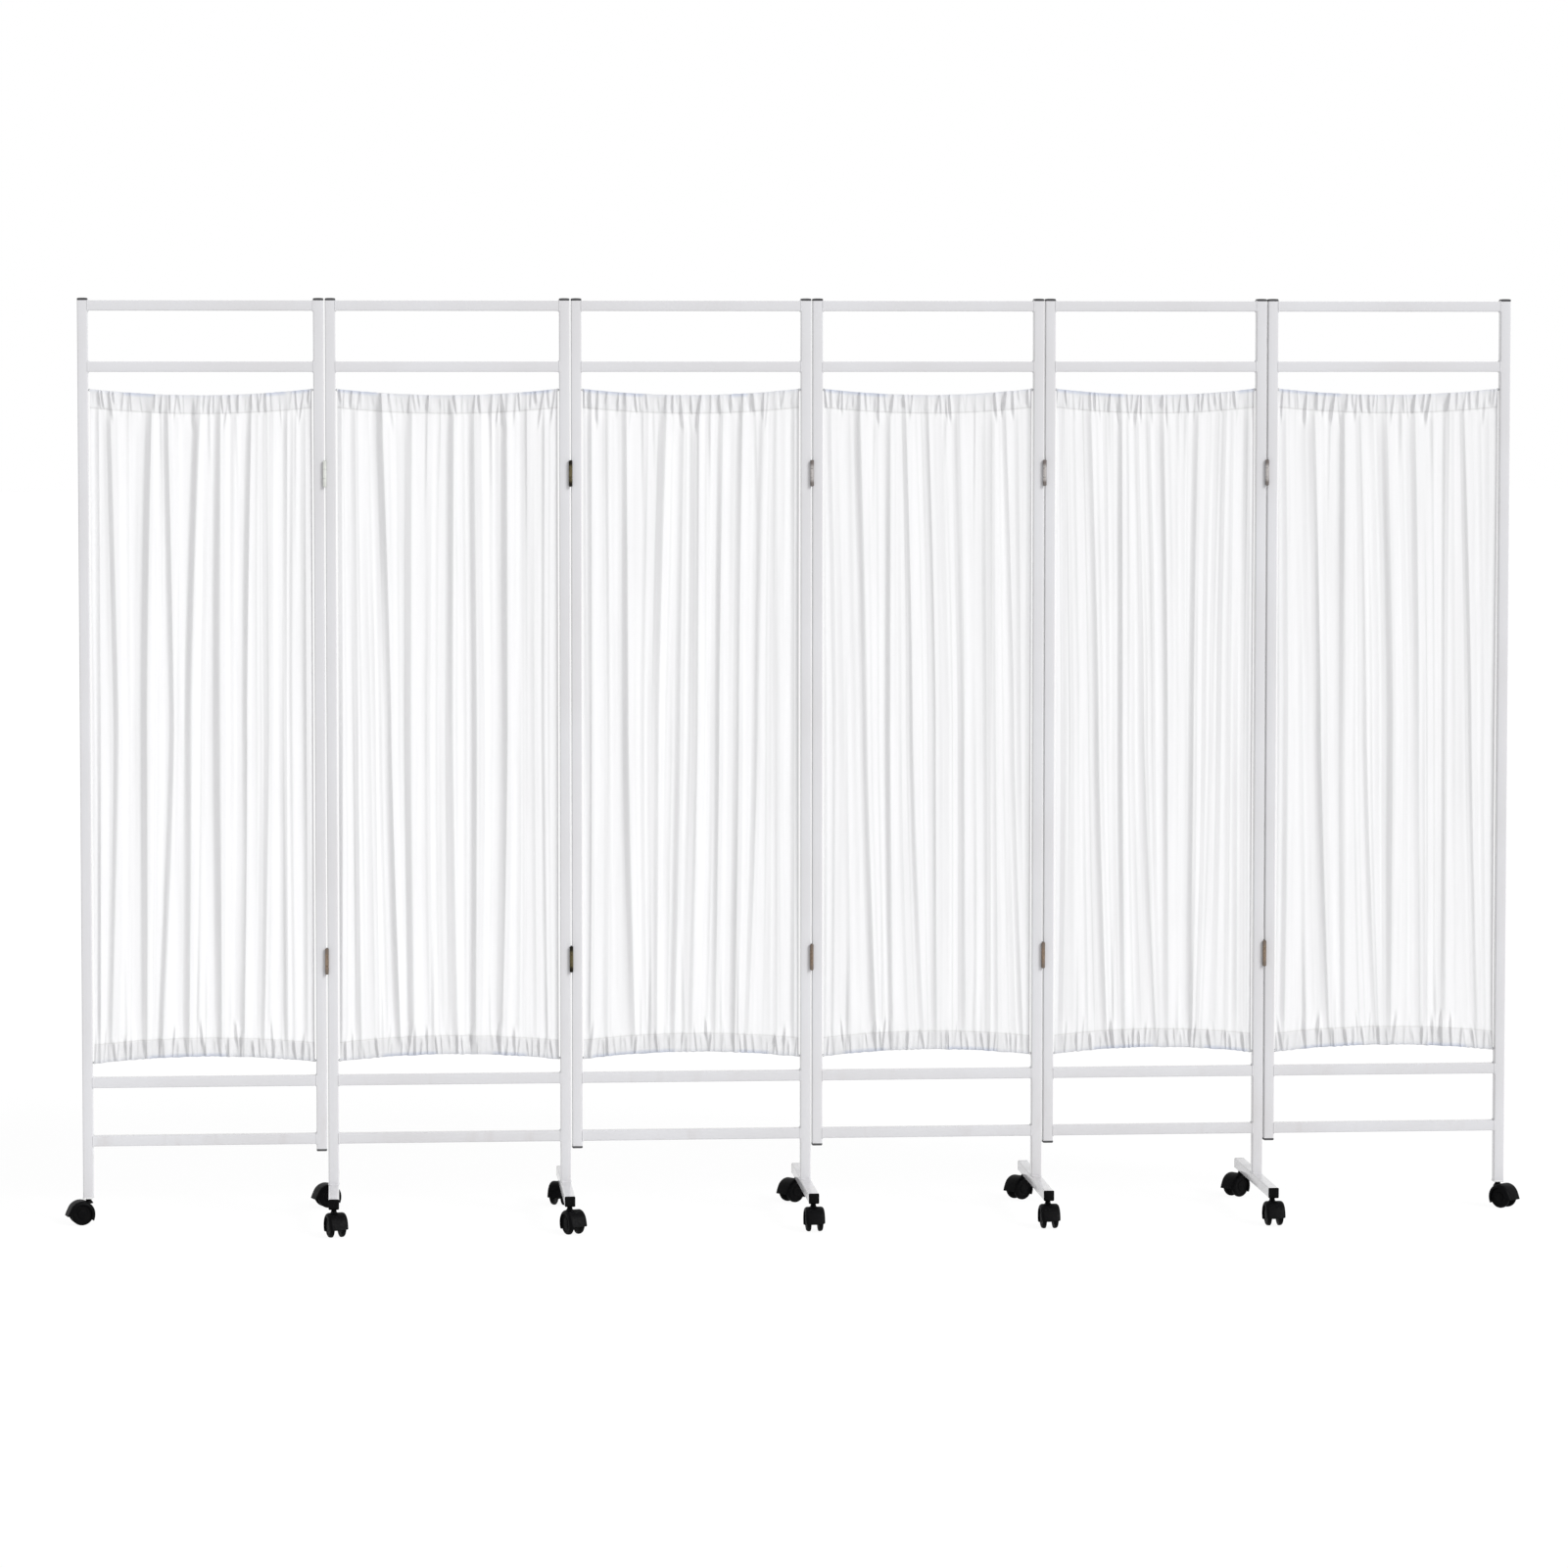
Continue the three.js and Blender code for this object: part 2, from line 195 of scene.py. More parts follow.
def makePiece(name, shape, finish, body, stands=(), sharp=32):
    mesh = bpy.data.meshes.new(name)
    mesh.from_pydata(shape["points"], [], shape["faces"])
    work = bmesh.new()
    work.from_mesh(mesh)
    bmesh.ops.remove_doubles(work, verts=work.verts, dist=1e-6)
    bmesh.ops.dissolve_degenerate(work, edges=work.edges, dist=1e-7)
    bmesh.ops.recalc_face_normals(work, faces=work.faces)
    work.to_mesh(mesh)
    work.free()
    return finishPiece(name, mesh, finish, body, stands, sharp)


def finishPiece(name, mesh, finish, body, stands=(), sharp=32):
    piece = bpy.data.objects.new(name, mesh)
    bpy.context.scene.collection.objects.link(piece)
    mesh.materials.append(finish)
    mesh.polygons.foreach_set("use_smooth", [True] * len(mesh.polygons))
    mesh.set_sharp_from_angle(angle=math.radians(sharp))
    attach(piece, body)
    if stands:
        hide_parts(*stands)
    return piece


# Finishes

def addNode(tree, kind, inputs=None, **settings):
    node = tree.nodes.new(kind)
    for key, value in settings.items():
        setattr(node, key, value)
    for key, value in (inputs or {}).items():
        if isinstance(value, bpy.types.NodeSocket):
            tree.links.new(value, node.inputs[key])
        else:
            node.inputs[key].default_value = value
    return node


def newFinish(name):
    finish = bpy.data.materials.new(name)
    finish.use_nodes = True
    tree = finish.node_tree
    tree.nodes.clear()
    output = addNode(tree, "ShaderNodeOutputMaterial")
    shader = addNode(tree, "ShaderNodeBsdfPrincipled")
    tree.links.new(shader.outputs[0], output.inputs["Surface"])
    place = addNode(tree, "ShaderNodeTexCoord").outputs["Object"]
    return finish, tree, shader, place


def noiseOf(tree, place, scale, detail=2.0, stretch=None):
    if stretch:
        place = addNode(tree, "ShaderNodeMapping", {"Vector": place, "Scale": stretch}).outputs[0]
    inputs = {"Vector": place, "Scale": scale, "Detail": detail}
    return addNode(tree, "ShaderNodeTexNoise", inputs).outputs["Fac"]


def rangeOf(tree, value, low, high, newLow, newHigh):
    inputs = {"Value": value, "From Min": low, "From Max": high, "To Min": newLow, "To Max": newHigh}
    return addNode(tree, "ShaderNodeMapRange", inputs).outputs["Result"]


def mixOf(tree, share, one, two):
    node = addNode(tree, "ShaderNodeMix", data_type="RGBA")
    for index, value in ((0, share), (6, one), (7, two)):
        if isinstance(value, bpy.types.NodeSocket):
            tree.links.new(value, node.inputs[index])
        else:
            node.inputs[index].default_value = value
    return node.outputs[2]


def bumpOf(tree, shader, heightSocket, strength, distance):
    inputs = {"Height": heightSocket, "Strength": strength, "Distance": distance}
    bump = addNode(tree, "ShaderNodeBump", inputs)
    tree.links.new(bump.outputs[0], shader.inputs["Normal"])


noiseSpan = (0.3, 0.7)  # holds nearly all the values of a noise texture

paint = {
    "colour": tone(213, 213, 216),
    "shade": tone(207, 206, 208),
    "cloudScale": 3.5,  # broad drift from colour to shade
    "cloudSpan": (0.35, 0.7),
    "scuff": tone(188, 181, 178),  # hands and mops leave the low rails a little warmer
    "scuffScale": 26,
    "scuffStretch": (1, 1, 0.35),
    "scuffSpan": (0.56, 0.74),
    "scuffShare": 0.35,
    "scuffHeights": (0.45, 0.06),  # where the scuffs begin, and where they are full
    "peelScale": 620,
    "peelStrength": 0.35,
    "peelDepth": 0.00012,
    "sheenScale": 40,
    "roughness": (0.11, 0.18),
}


def makePaint():
    finish, tree, shader, place = newFinish("framePaint")
    broad = noiseOf(tree, place, paint["cloudScale"], 4)
    cloud = rangeOf(tree, broad, *paint["cloudSpan"], 0, 1)
    base = mixOf(tree, cloud, paint["colour"], paint["shade"])
    heightOf = addNode(tree, "ShaderNodeSeparateXYZ", {"Vector": place}).outputs["Z"]
    low = rangeOf(tree, heightOf, *paint["scuffHeights"], 0, 1)
    spots = noiseOf(tree, place, paint["scuffScale"], 6, paint["scuffStretch"])
    marks = rangeOf(tree, spots, *paint["scuffSpan"], 0, paint["scuffShare"])
    worn = addNode(tree, "ShaderNodeMath", {0: low, 1: marks}, operation="MULTIPLY").outputs[0]
    tree.links.new(mixOf(tree, worn, base, paint["scuff"]), shader.inputs["Base Color"])
    peel = noiseOf(tree, place, paint["peelScale"], 2)
    sheen = rangeOf(tree, noiseOf(tree, place, paint["sheenScale"], 3), *noiseSpan, *paint["roughness"])
    tree.links.new(sheen, shader.inputs["Roughness"])
    bumpOf(tree, shader, peel, paint["peelStrength"], paint["peelDepth"])
    return finish


plastic = {
    "patchScale": 85,
    "patchSpan": (0.45, 0.75),
    "glossScale": 240,
    "grain": 900,
    "grainStrength": 0.3,
    "grainDepth": 0.0001,
    "shine": 0.5,
    "dullShine": 0.06,  # black pieces that hardly shine
}


def makePlastic(name, colour, worn, roughness, grain=plastic["grain"], shine=plastic["shine"]):
    finish, tree, shader, place = newFinish(name)
    shader.inputs["Specular IOR Level"].default_value = shine
    patch = rangeOf(tree, noiseOf(tree, place, plastic["patchScale"], 5), *plastic["patchSpan"], 0, 1)
    tree.links.new(mixOf(tree, patch, colour, worn), shader.inputs["Base Color"])
    gloss = rangeOf(tree, noiseOf(tree, place, plastic["glossScale"], 3), *noiseSpan, *roughness)
    tree.links.new(gloss, shader.inputs["Roughness"])
    grainSocket = noiseOf(tree, place, grain, 2)
    bumpOf(tree, shader, grainSocket, plastic["grainStrength"], plastic["grainDepth"])
    return finish


metal = {
    "metallic": 0.85,
    "streakScale": 160,
    "streakStretch": (1, 1, 0.12),
    "blotchScale": 420,
    "tarnishSpan": (0.16, 0.40),
    "endSpan": (0.45, 0.75),  # of half the length, where the colour of the ends comes in
    "reliefStrength": 0.2,
    "reliefDepth": 0.0001,
}


def makeMetal(name, colour, dark, roughness, ends=None):
    finish, tree, shader, place = newFinish(name)
    shader.inputs["Metallic"].default_value = metal["metallic"]
    streak = noiseOf(tree, place, metal["streakScale"], 5, metal["streakStretch"])
    blotch = noiseOf(tree, place, metal["blotchScale"], 3)
    share = addNode(tree, "ShaderNodeMath", {0: streak, 1: blotch}, operation="MULTIPLY").outputs[0]
    tarnish = rangeOf(tree, share, *metal["tarnishSpan"], 0, 1)
    colourSocket = mixOf(tree, tarnish, colour, dark)
    if ends:
        nearEnd = addNode(tree, "ShaderNodeAttribute", attribute_name="nearEnd").outputs["Fac"]
        endShare = rangeOf(tree, nearEnd, *metal["endSpan"], 0, 1)
        colourSocket = mixOf(tree, endShare, colourSocket, ends)
    tree.links.new(colourSocket, shader.inputs["Base Color"])
    tree.links.new(rangeOf(tree, streak, *noiseSpan, *roughness), shader.inputs["Roughness"])
    bumpOf(tree, shader, streak, metal["reliefStrength"], metal["reliefDepth"])
    return finish


cloth = {
    "colour": tone(243, 243, 244),
    "slub": tone(237, 237, 238),
    # painted shade where the cloth lies double in the hems, strongest in the lower hem
    "doubled": tone(224, 224, 225),
    "wireSeen": tone(192, 201, 222),  # the coated wire seen blue through the hem, together with painted shade of the casing's top
    # painted shade in the groove that the stitching pinches
    "stitchSeen": tone(224, 224, 224),
    "weaveScale": 460,  # one thread in about 0.7 mm
    "weaveUneven": 0.6,
    "weaveStrength": 0.25,
    "weaveDepth": 0.00008,
    "threadScale": 90,
    "threadStretch": (1, 0.05, 1),
    "slubSpan": (0.45, 0.75),
    "slubShare": 0.7,
    "roughness": (0.82, 0.95),
    "sheen": 0.12,
    "sheenRoughness": 0.6,
    "shine": 0.15,
    "throughShare": 0.24,  # light that comes through the thin cloth
}


def makeCloth():
    finish, tree, shader, _ = newFinish("curtainCloth")
    shader.inputs["Sheen Weight"].default_value = cloth["sheen"]
    shader.inputs["Sheen Roughness"].default_value = cloth["sheenRoughness"]
    shader.inputs["Specular IOR Level"].default_value = cloth["shine"]
    flat = addNode(tree, "ShaderNodeUVMap", uv_map="flatCloth").outputs["UV"]
    waves = []
    for direction in ("X", "Y"):
        inputs = {"Vector": flat, "Scale": cloth["weaveScale"]}
        inputs |= {"Distortion": cloth["weaveUneven"], "Detail Scale": 0.4}
        node = addNode(tree, "ShaderNodeTexWave", inputs, bands_direction=direction)
        waves.append(node.outputs["Fac"])
    weave = addNode(tree, "ShaderNodeMath", {0: waves[0], 1: waves[1]}, operation="MAXIMUM").outputs[0]
    threads = noiseOf(tree, flat, cloth["threadScale"], 3, cloth["threadStretch"])
    slub = rangeOf(tree, threads, *cloth["slubSpan"], 0, cloth["slubShare"])
    colourSocket = mixOf(tree, slub, cloth["colour"], cloth["slub"])
    # painted shade of the hems, the stitching and the wire's casing, mixed into the cloth's colour
    for mark in ("doubled", "wireSeen", "stitchSeen"):
        share = addNode(tree, "ShaderNodeAttribute", attribute_name=mark).outputs["Fac"]
        colourSocket = mixOf(tree, share, colourSocket, cloth[mark])
    tree.links.new(colourSocket, shader.inputs["Base Color"])
    roughness = rangeOf(tree, threads, *noiseSpan, *cloth["roughness"])
    tree.links.new(roughness, shader.inputs["Roughness"])
    bumpOf(tree, shader, weave, cloth["weaveStrength"], cloth["weaveDepth"])
    through = addNode(tree, "ShaderNodeBsdfTranslucent", {"Color": colourSocket})
    blend = addNode(tree, "ShaderNodeMixShader", {"Fac": cloth["throughShare"]})
    tree.links.new(shader.outputs[0], blend.inputs[1])
    tree.links.new(through.outputs[0], blend.inputs[2])
    output = next(n for n in tree.nodes if n.type == "OUTPUT_MATERIAL")
    tree.links.new(blend.outputs[0], output.inputs["Surface"])
    return finish


dull = plastic["dullShine"]
finishes = {
    "paint": makePaint(),
    "cap": makePlastic("capPlastic", tone(62, 62, 64), tone(78, 78, 80), (0.45, 0.6)),
    "plug": makePlastic("plugPlastic", tone(6, 6, 6), tone(13, 13, 13), (0.38, 0.55), shine=dull),
    "socket": makePlastic("socketPlastic", tone(232, 232, 232), tone(222, 222, 220), (0.35, 0.5)),
    "hood": makePlastic("casterHood", tone(3, 3, 4), tone(8, 8, 9), (0.42, 0.58), 1100, dull),
    "wheel": makePlastic("casterWheel", tone(4, 4, 5), tone(12, 11, 11), (0.5, 0.7), 700, dull),
    "steel": makeMetal("zincSteel", tone(176, 178, 182), tone(120, 122, 126), (0.28, 0.45)),
    "wire": makePlastic("wireCoat", tone(168, 178, 200), tone(150, 160, 184), (0.3, 0.45)),
}
hingeLooks = {  # material, face, tarnish, roughness, ends
    "bronze": ("hingeBronze", tone(146, 128, 112), tone(112, 98, 84), (0.32, 0.5), tone(120, 108, 98)),
    "darkBronze": ("hingeDarkBronze", tone(104, 96, 70), tone(66, 58, 40), (0.34, 0.5), tone(30, 27, 20)),
    "greyHinge": ("hingeGrey", tone(190, 186, 184), tone(170, 166, 164), (0.3, 0.45), tone(118, 111, 108)),
    "paleHinge": ("hingePale", tone(228, 230, 225), tone(216, 218, 212), (0.3, 0.45), tone(214, 216, 210)),
}
for key, look in hingeLooks.items():
    finishes[key] = makeMetal(*look)
finishes["cloth"] = makeCloth()
print("finishes are made")


# Frames: tubes, weld beads, caps and plugs

weld = {
    "bead": 0.0015,  # radius
    "ripple": 0.16,
    "ripples": 30,
    "points": 96,
    "corner": 0.22,  # share of half the tube
    "overFace": 0.0006,
    "inCorner": 0.0003,
}


def addWeld(shape, axis, at, middle, flushAxis):
    # bead round a tube's end; on the faces that lie flush with the other tube it is ground low
    path = []
    half = {i: tube["side"] / 2 + weld["inCorner"] for i in range(3) if i != axis}
    half[flushAxis] = tube["side"] / 2 - weld["overFace"]
    one, two = sorted(half)
    outline = squareOutline(1, weld["corner"], weld["points"] // 4 - 1)
    for a, b in outline:
        point = [0.0, 0.0, 0.0]
        point[axis] = at
        point[one] = middle[one] + a * half[one]
        point[two] = middle[two] + b * half[two]
        path.append(point)
    path = evenPath(path, weld["points"])

    def swell(share):
        return 1 + weld["ripple"] * math.sin(2 * math.pi * weld["ripples"] * share)
    addSweep(shape, path, weld["bead"], 6, closed=True, swell=swell)


def evenPath(path, count):
    # the same closed path with its points evenly spaced
    points = np.array(path + path[:1])
    gone = np.concatenate([[0], np.cumsum(np.linalg.norm(np.diff(points, axis=0), axis=1))])
    at = np.linspace(0, gone[-1], count, endpoint=False)
    return [[float(np.interp(t, gone, points[:, k])) for k in range(3)] for t in at]


cap = {
    "rise": 0.005,
    "plugRise": 0.0035,  # the same plug in a cross foot's end
    "edge": 0.0012,
    "proud": 0.0001,
    "crown": 0.0006,
    "seam": 0.0004,
}


def addCap(shape, axis, at, outwards, middle, rise=cap["rise"]):
    # low crowned plug that closes a tube's end; outwards is 1 or -1 along the axis
    half = tube["side"] / 2
    levels = [
        (half - cap["seam"], 0),
        (half - cap["seam"], cap["seam"]),
        (half + cap["proud"], cap["seam"]),
        (half + cap["proud"], rise - cap["edge"] - cap["crown"]),
        (half - cap["edge"] * 0.3, rise - cap["edge"] * 0.4 - cap["crown"]),
        (half - cap["edge"], rise - cap["crown"]),
        (half - cap["edge"] * 3, rise - cap["crown"] * 0.4),
        (half * 0.3, rise),
    ]
    rings = []
    for size, out in levels:
        corner = min(tube["corner"], size * 0.4)
        rings.append(across(squareOutline(size, corner), axis, at + outwards * out, middle))
    addLoft(shape, rings)


def postLow(stand):
    return height({"short": tube["shortPost"], "foot": tube["footTop"], "caster": tube["footLow"]}[stand])


def buildPanel(number, stands):
    low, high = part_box(f"panel_{number}_frame")
    half = tube["side"] / 2
    top = height(tube["postTop"])
    lowest = height(tube["bottomRail"])
    rails = [lowest, lowest + tube["lowerRailPitch"], top - half - tube["upperRailPitch"], top - half]
    body = f"panel_{number}"
    shape, caps, plugs = newShape(), newShape(), newShape()
    for side, x in (("left", low.x + half), ("right", high.x - half)):
        stand = stands[side]
        middle = (x, postPlane, 0)
        addTube(shape, 2, postLow(stand), top, middle)
        addCap(caps, 2, top, 1, middle)
        if stand == "short":
            addCap(caps, 2, postLow(stand), -1, middle)
        if stand == "caster":
            buildSocket(number, x)
        if stand == "foot":
            footMiddle = (x, 0, height(tube["footTop"]) - half)
            reach = tube["footLength"] / 2
            addTube(shape, 1, postPlane - reach, postPlane + reach, footMiddle)
            addWeld(shape, 2, height(tube["footTop"]), middle, 0)
            for way in (-1, 1):
                addCap(plugs, 1, postPlane + way * reach, way, footMiddle, cap["plugRise"])
    for z in rails:
        start, end = low.x + tube["side"], high.x - tube["side"]
        addTube(shape, 0, start, end, (0, postPlane, z))
        for x in (start, end):
            addWeld(shape, 0, x, (0, postPlane, z), 1)
    makePiece(f"frame{number}", shape, finishes["paint"], body, [f"panel_{number}_frame"])
    makePiece(f"postCaps{number}", caps, finishes["cap"], body)
    if plugs["points"]:
        makePiece(f"footPlugs{number}", plugs, finishes["plug"], body)


socket = {
    "flange": 0.0108,
    "thick": 0.0026,
    "edge": (0.0004, 0.0006),  # bevels above and below
    "corner": 0.22,  # share of the half width
    "collar": 0.0068,
    "collarTaper": 0.93,
    "collarDrop": 0.0012,
    "up": 0.018,
    "play": 0.0002,  # to the bore of the tube
}


def buildSocket(number, x):
    # light insert in an end post, which the caster's stem pushes into
    shape = newShape()
    middle = (x, postPlane, 0)
    z = height(tube["footLow"])
    inside = tube["side"] / 2 - tube["wall"] - socket["play"]
    flange, base = socket["flange"], -socket["thick"]
    above, below = socket["edge"]
    levels = [(inside, socket["up"]), (inside, 0), (flange - above, 0), (flange, -above)]
    levels += [(flange, above + base), (flange - below, base)]
    rings = []
    for size, out in levels:
        rings.append(across(squareOutline(size, size * socket["corner"]), 2, z + out, middle))
    addLoft(shape, rings)
    collar, drop = socket["collar"], base - socket["collarDrop"]
    profile = [(0, base), (collar, base), (collar * socket["collarTaper"], drop), (0, drop)]
    addLathe(shape, profile, (x, postPlane, z), 2)
    makePiece(f"stemSocket{number}", shape, finishes["socket"], f"panel_{number}")


for number, stands in panels.items():
    buildPanel(number, stands)
print("frames, caps and sockets are made")


# Hinges

hinge = {
    "length": 0.050,
    "barrel": 0.0035,  # radius
    "middleShare": 0.36,
    "gap": 0.0003,
    "leaf": 0.001,
    "depth": 0.016,
    "chamfer": 0.0005,
    "blockEdge": 0.0002,
    "blockCorner": 0.2,
    "pinHead": 0.0023,
    "pinRise": 0.0009,
    "pinProfile": ((0, 0), (1, 0), (1, 0.4), (0.7, 0.85), (0, 1)),  # shares of the two
    "rivet": 0.0024,
    "rivetPlaces": (-0.36, 0.0, 0.36),  # shares of the length
    # shares of the rivet's radius, and metres from the leaf's outer face inwards
    "rivetProfile": (
        (0, 0.0004), (0.4, 0.0004), (0.5, -0.0001), (0.92, -0.0001), (1, 0.0002), (1, 0.0006), (0, 0.0006),
    ),
    "finish": {  # seam and level
        (1, "upper"): "paleHinge", (2, "upper"): "darkBronze", (3, "upper"): "greyHinge",
        (4, "upper"): "greyHinge", (5, "upper"): "greyHinge",
        (1, "lower"): "bronze", (2, "lower"): "darkBronze", (3, "lower"): "bronze",
        (4, "lower"): "bronze", (5, "lower"): "bronze",
    },
}


def addBarrel(shape, x, y, low, high):
    r, c = hinge["barrel"], hinge["chamfer"]
    profile = [(0, low), (r - c, low), (r, low + c), (r, high - c), (r - c, high), (0, high)]
    addLathe(shape, profile, (x, y, 0), 2)


def addBlock(shape, low, high):
    # box with slightly rounded upright edges
    middle = [(a + b) / 2 for a, b in zip(low, high)]
    edge, outline = hinge["blockEdge"], squareOutline(1, hinge["blockCorner"], 2)
    rings = []
    for z, inset in ((low[2], edge), (low[2] + edge, 0), (high[2] - edge, 0), (high[2], edge)):
        x, y = (high[0] - low[0]) / 2 - inset, (high[1] - low[1]) / 2 - inset
        rings.append([(middle[0] + a * x, middle[1] + b * y, z) for a, b in outline])
    addLoft(shape, rings)


def buildHinge(seam, level):
    joint = next(j for j in frame["joints"] if j["name"] == f"seam_{seam}_fold")
    x, y = joint["pos_m"][0], joint["pos_m"][1]
    low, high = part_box(f"seam_{seam}_{level}_hinge_left_leaf")
    z = (low.z + high.z) / 2
    half = hinge["length"] / 2
    middle = half * hinge["middleShare"]
    gap = hinge["gap"] / 2
    spans = {
        "left": [(-half, -middle - gap), (middle + gap, half)],
        "right": [(gap - middle, middle - gap)],
    }
    for side, way in (("left", -1), ("right", 1)):
        shape = newShape()
        inner, outer = sorted((way * gap, way * (gap + hinge["leaf"])))
        back = y + hinge["barrel"] + hinge["depth"]
        front = y + hinge["barrel"] + hinge["gap"]
        addBlock(shape, (x + inner, front, z - half), (x + outer, back, z + half))
        for a, b in spans[side]:
            addBarrel(shape, x, y, z + a, z + b)
            addBlock(shape, (x + inner, y, z + a), (x + outer, front + hinge["leaf"], z + b))
        if side == "left":
            for end in (-1, 1):
                r, rise = hinge["pinHead"], hinge["pinRise"]
                profile = [(r * a, end * (rise * b)) for a, b in hinge["pinProfile"]]
                addLathe(shape, profile, (x, y, z + end * half), 2, 24)
        for share in hinge["rivetPlaces"]:
            profile = [(hinge["rivet"] * a, way * gap + way * b) for a, b in hinge["rivetProfile"]]
            addLathe(shape, profile, (x, (front + back) / 2, z + share * hinge["length"]), 0, 20)
        panel = seam if side == "left" else seam + 1
        finish = finishes[hinge["finish"][seam, level]]
        node = f"seam_{seam}_{level}_hinge_{side}_leaf"
        name = f"hinge{seam}{level.title()}{side.title()}Leaf"
        piece = makePiece(name, shape, finish, f"panel_{panel}", [node])
        nearEnd = piece.data.attributes.new("nearEnd", "FLOAT", "POINT")
        fromMiddle = [abs(vertex.co.z - z) / half for vertex in piece.data.vertices]
        nearEnd.data.foreach_set("value", fromMiddle)


for seam in range(1, 6):
    for level in ("upper", "lower"):
        buildHinge(seam, level)
print("hinges are made")


# Casters. In their own frame the swivel is the z axis and the wheels trail towards +x.

caster = {
    "trail": 0.015,
    "halfWidth": 0.019,
    "hoodRadius": 0.0253,
    "hoodWall": 0.0013,
    "shoulder": 0.0062,
    "shoulderSteps": 7,
    "skirt": 0.0009,
    "start": math.radians(-8),
    "end": math.radians(212),
    "beak": 0.0042,  # the hood's rear tip stands out this much
    "beakSpread": math.radians(34),
    "lipShare": 0.35,  # of the beak, at the front lip
    "rings": 56,
    "web": 0.006,  # half its thickness
    "webEdge": 0.0006,
    "webSteps": 12,  # round its open lower side
    "boss": 0.008,
    "wheelInner": 0.007,
    "wheelOuter": 0.0160,
    "axle": 0.003,
    "hubCrown": 0.0005,
    "collar": 0.0052,
    # how the collar spreads into the hood: wider than itself, and from the hood's crown
    "collarFlare": ((0.004, -0.006), (0.0028, -0.0035), (0.0008, -0.0012), (0, 0.0006)),
    "stem": 0.004,
    "stemUp": 0.0168,
    # half a wheel's outline: below the tread, and out from its inner or its outer face
    "innerProfile": ((0.0050, 0), (0.0042, 0.0005), (0.0012, 0.0005), (0.0003, 0.0011), (0, 0.0020)),
    "outerProfile": (
        (0, -0.0042), (0.0004, -0.0026), (0.0013, -0.0011), (0.0026, -0.0003), (0.0040, 0), (0.0052, 0),
        (0.0058, -0.0009), (0.0120, -0.0012), (0.0126, -0.0003), (0.0136, 0.0001), (0.0180, 0.0004),
    ),
}


def hoodSection(grow):
    # closed outline in (y, radius), from the left rim over the top to the right rim and back inside
    w, r, wall = caster["halfWidth"], caster["hoodRadius"], caster["hoodWall"]
    outer, steps = [], caster["shoulderSteps"]
    for way in (-1, 1):
        arc = []
        for i in range(steps + 1):
            angle = math.pi / 2 * i / steps
            y = w - caster["shoulder"] * (1 - math.cos(angle))
            arc.append((way * y, r - caster["shoulder"] * (1 - math.sin(angle)) + grow * math.sin(angle)))
        arc.insert(0, (way * w, r - caster["shoulder"] - caster["skirt"]))
        outer += arc if way < 0 else arc[::-1]
    inner = []
    for way in (1, -1):
        arc = []
        for i in range(steps + 1):
            angle = math.pi / 2 * i / steps
            y = w - wall - (caster["shoulder"] - wall) * (1 - math.cos(angle))
            arc.append((way * y, r - wall - (caster["shoulder"] - wall) * (1 - math.sin(angle))))
        arc.insert(0, (way * (w - wall), r - caster["shoulder"] - caster["skirt"]))
        inner += arc if way > 0 else arc[::-1]
    return outer + inner


def hoodShape(axleHeight):
    shape = newShape()
    start, end = caster["start"], caster["end"]

    def onHood(radius, angle, y):
        return (caster["trail"] + radius * math.cos(angle), y, axleHeight + radius * math.sin(angle))
    rings = []
    for i in range(caster["rings"] + 1):
        angle = start + (end - start) * i / caster["rings"]
        near = max(0.0, 1 - (angle - start) / caster["beakSpread"])
        lip = max(0.0, 1 - (end - angle) / caster["beakSpread"])
        grow = caster["beak"] * near ** 2 + caster["beak"] * caster["lipShare"] * lip ** 2
        rings.append([onHood(radius, angle, y) for y, radius in hoodSection(grow)])
    addLoft(shape, rings)
    outline = []
    reach = caster["hoodRadius"] - caster["hoodWall"] / 2
    for i in range(caster["rings"] + 1):
        angle = start + (end - start) * i / caster["rings"]
        outline.append((reach, angle))
    for i in range(1, caster["webSteps"]):
        outline.append((caster["boss"], end + (start + 2 * math.pi - end) * i / caster["webSteps"]))
    web, edge = caster["web"], caster["webEdge"]
    webRings = []
    for y, inset in ((-web, edge), (edge - web, 0), (web - edge, 0), (web, edge)):
        webRings.append([onHood(radius - inset, angle, y) for radius, angle in outline])
    addLoft(shape, webRings)
    top = tube["footLow"] + floorLift
    crown = axleHeight + caster["hoodRadius"]
    r = caster["collar"]
    profile = [(0, crown - 0.008)] + [(r + wider, crown + up) for wider, up in caster["collarFlare"]]
    profile += [(r, top - 0.0009), (r - 0.0005, top - 0.0003), (0, top - 0.0003)]
    addLathe(shape, profile, (0, 0, 0), 2)
    s, stemTop = caster["stem"], top + caster["stemUp"]
    profile = [(0, top - 0.001), (s, top - 0.001), (s, top + 0.0155), (s - 0.001, stemTop), (0, stemTop)]
    addLathe(shape, profile, (0, 0, 0), 2, 24)
    return shape


def wheelsShape(axleHeight):
    shape = newShape()
    r = axleHeight
    a, b = caster["wheelInner"], caster["wheelOuter"]
    half = [(caster["axle"], a)]
    half += [(r - below, a + out) for below, out in caster["innerProfile"]]
    half += [(r - below, b + out) for below, out in caster["outerProfile"]]
    half.append((0, b + caster["hubCrown"]))
    origin = (caster["trail"], 0, axleHeight)
    for way in (-1, 1):
        profile = [(0, way * a)] + [(radius, way * y) for radius, y in half]
        addLathe(shape, profile, origin, 1, 56)
    addLathe(shape, [(0, -a), (caster["axle"], -a), (caster["axle"], a), (0, a)], origin, 1, 24)
    return shape


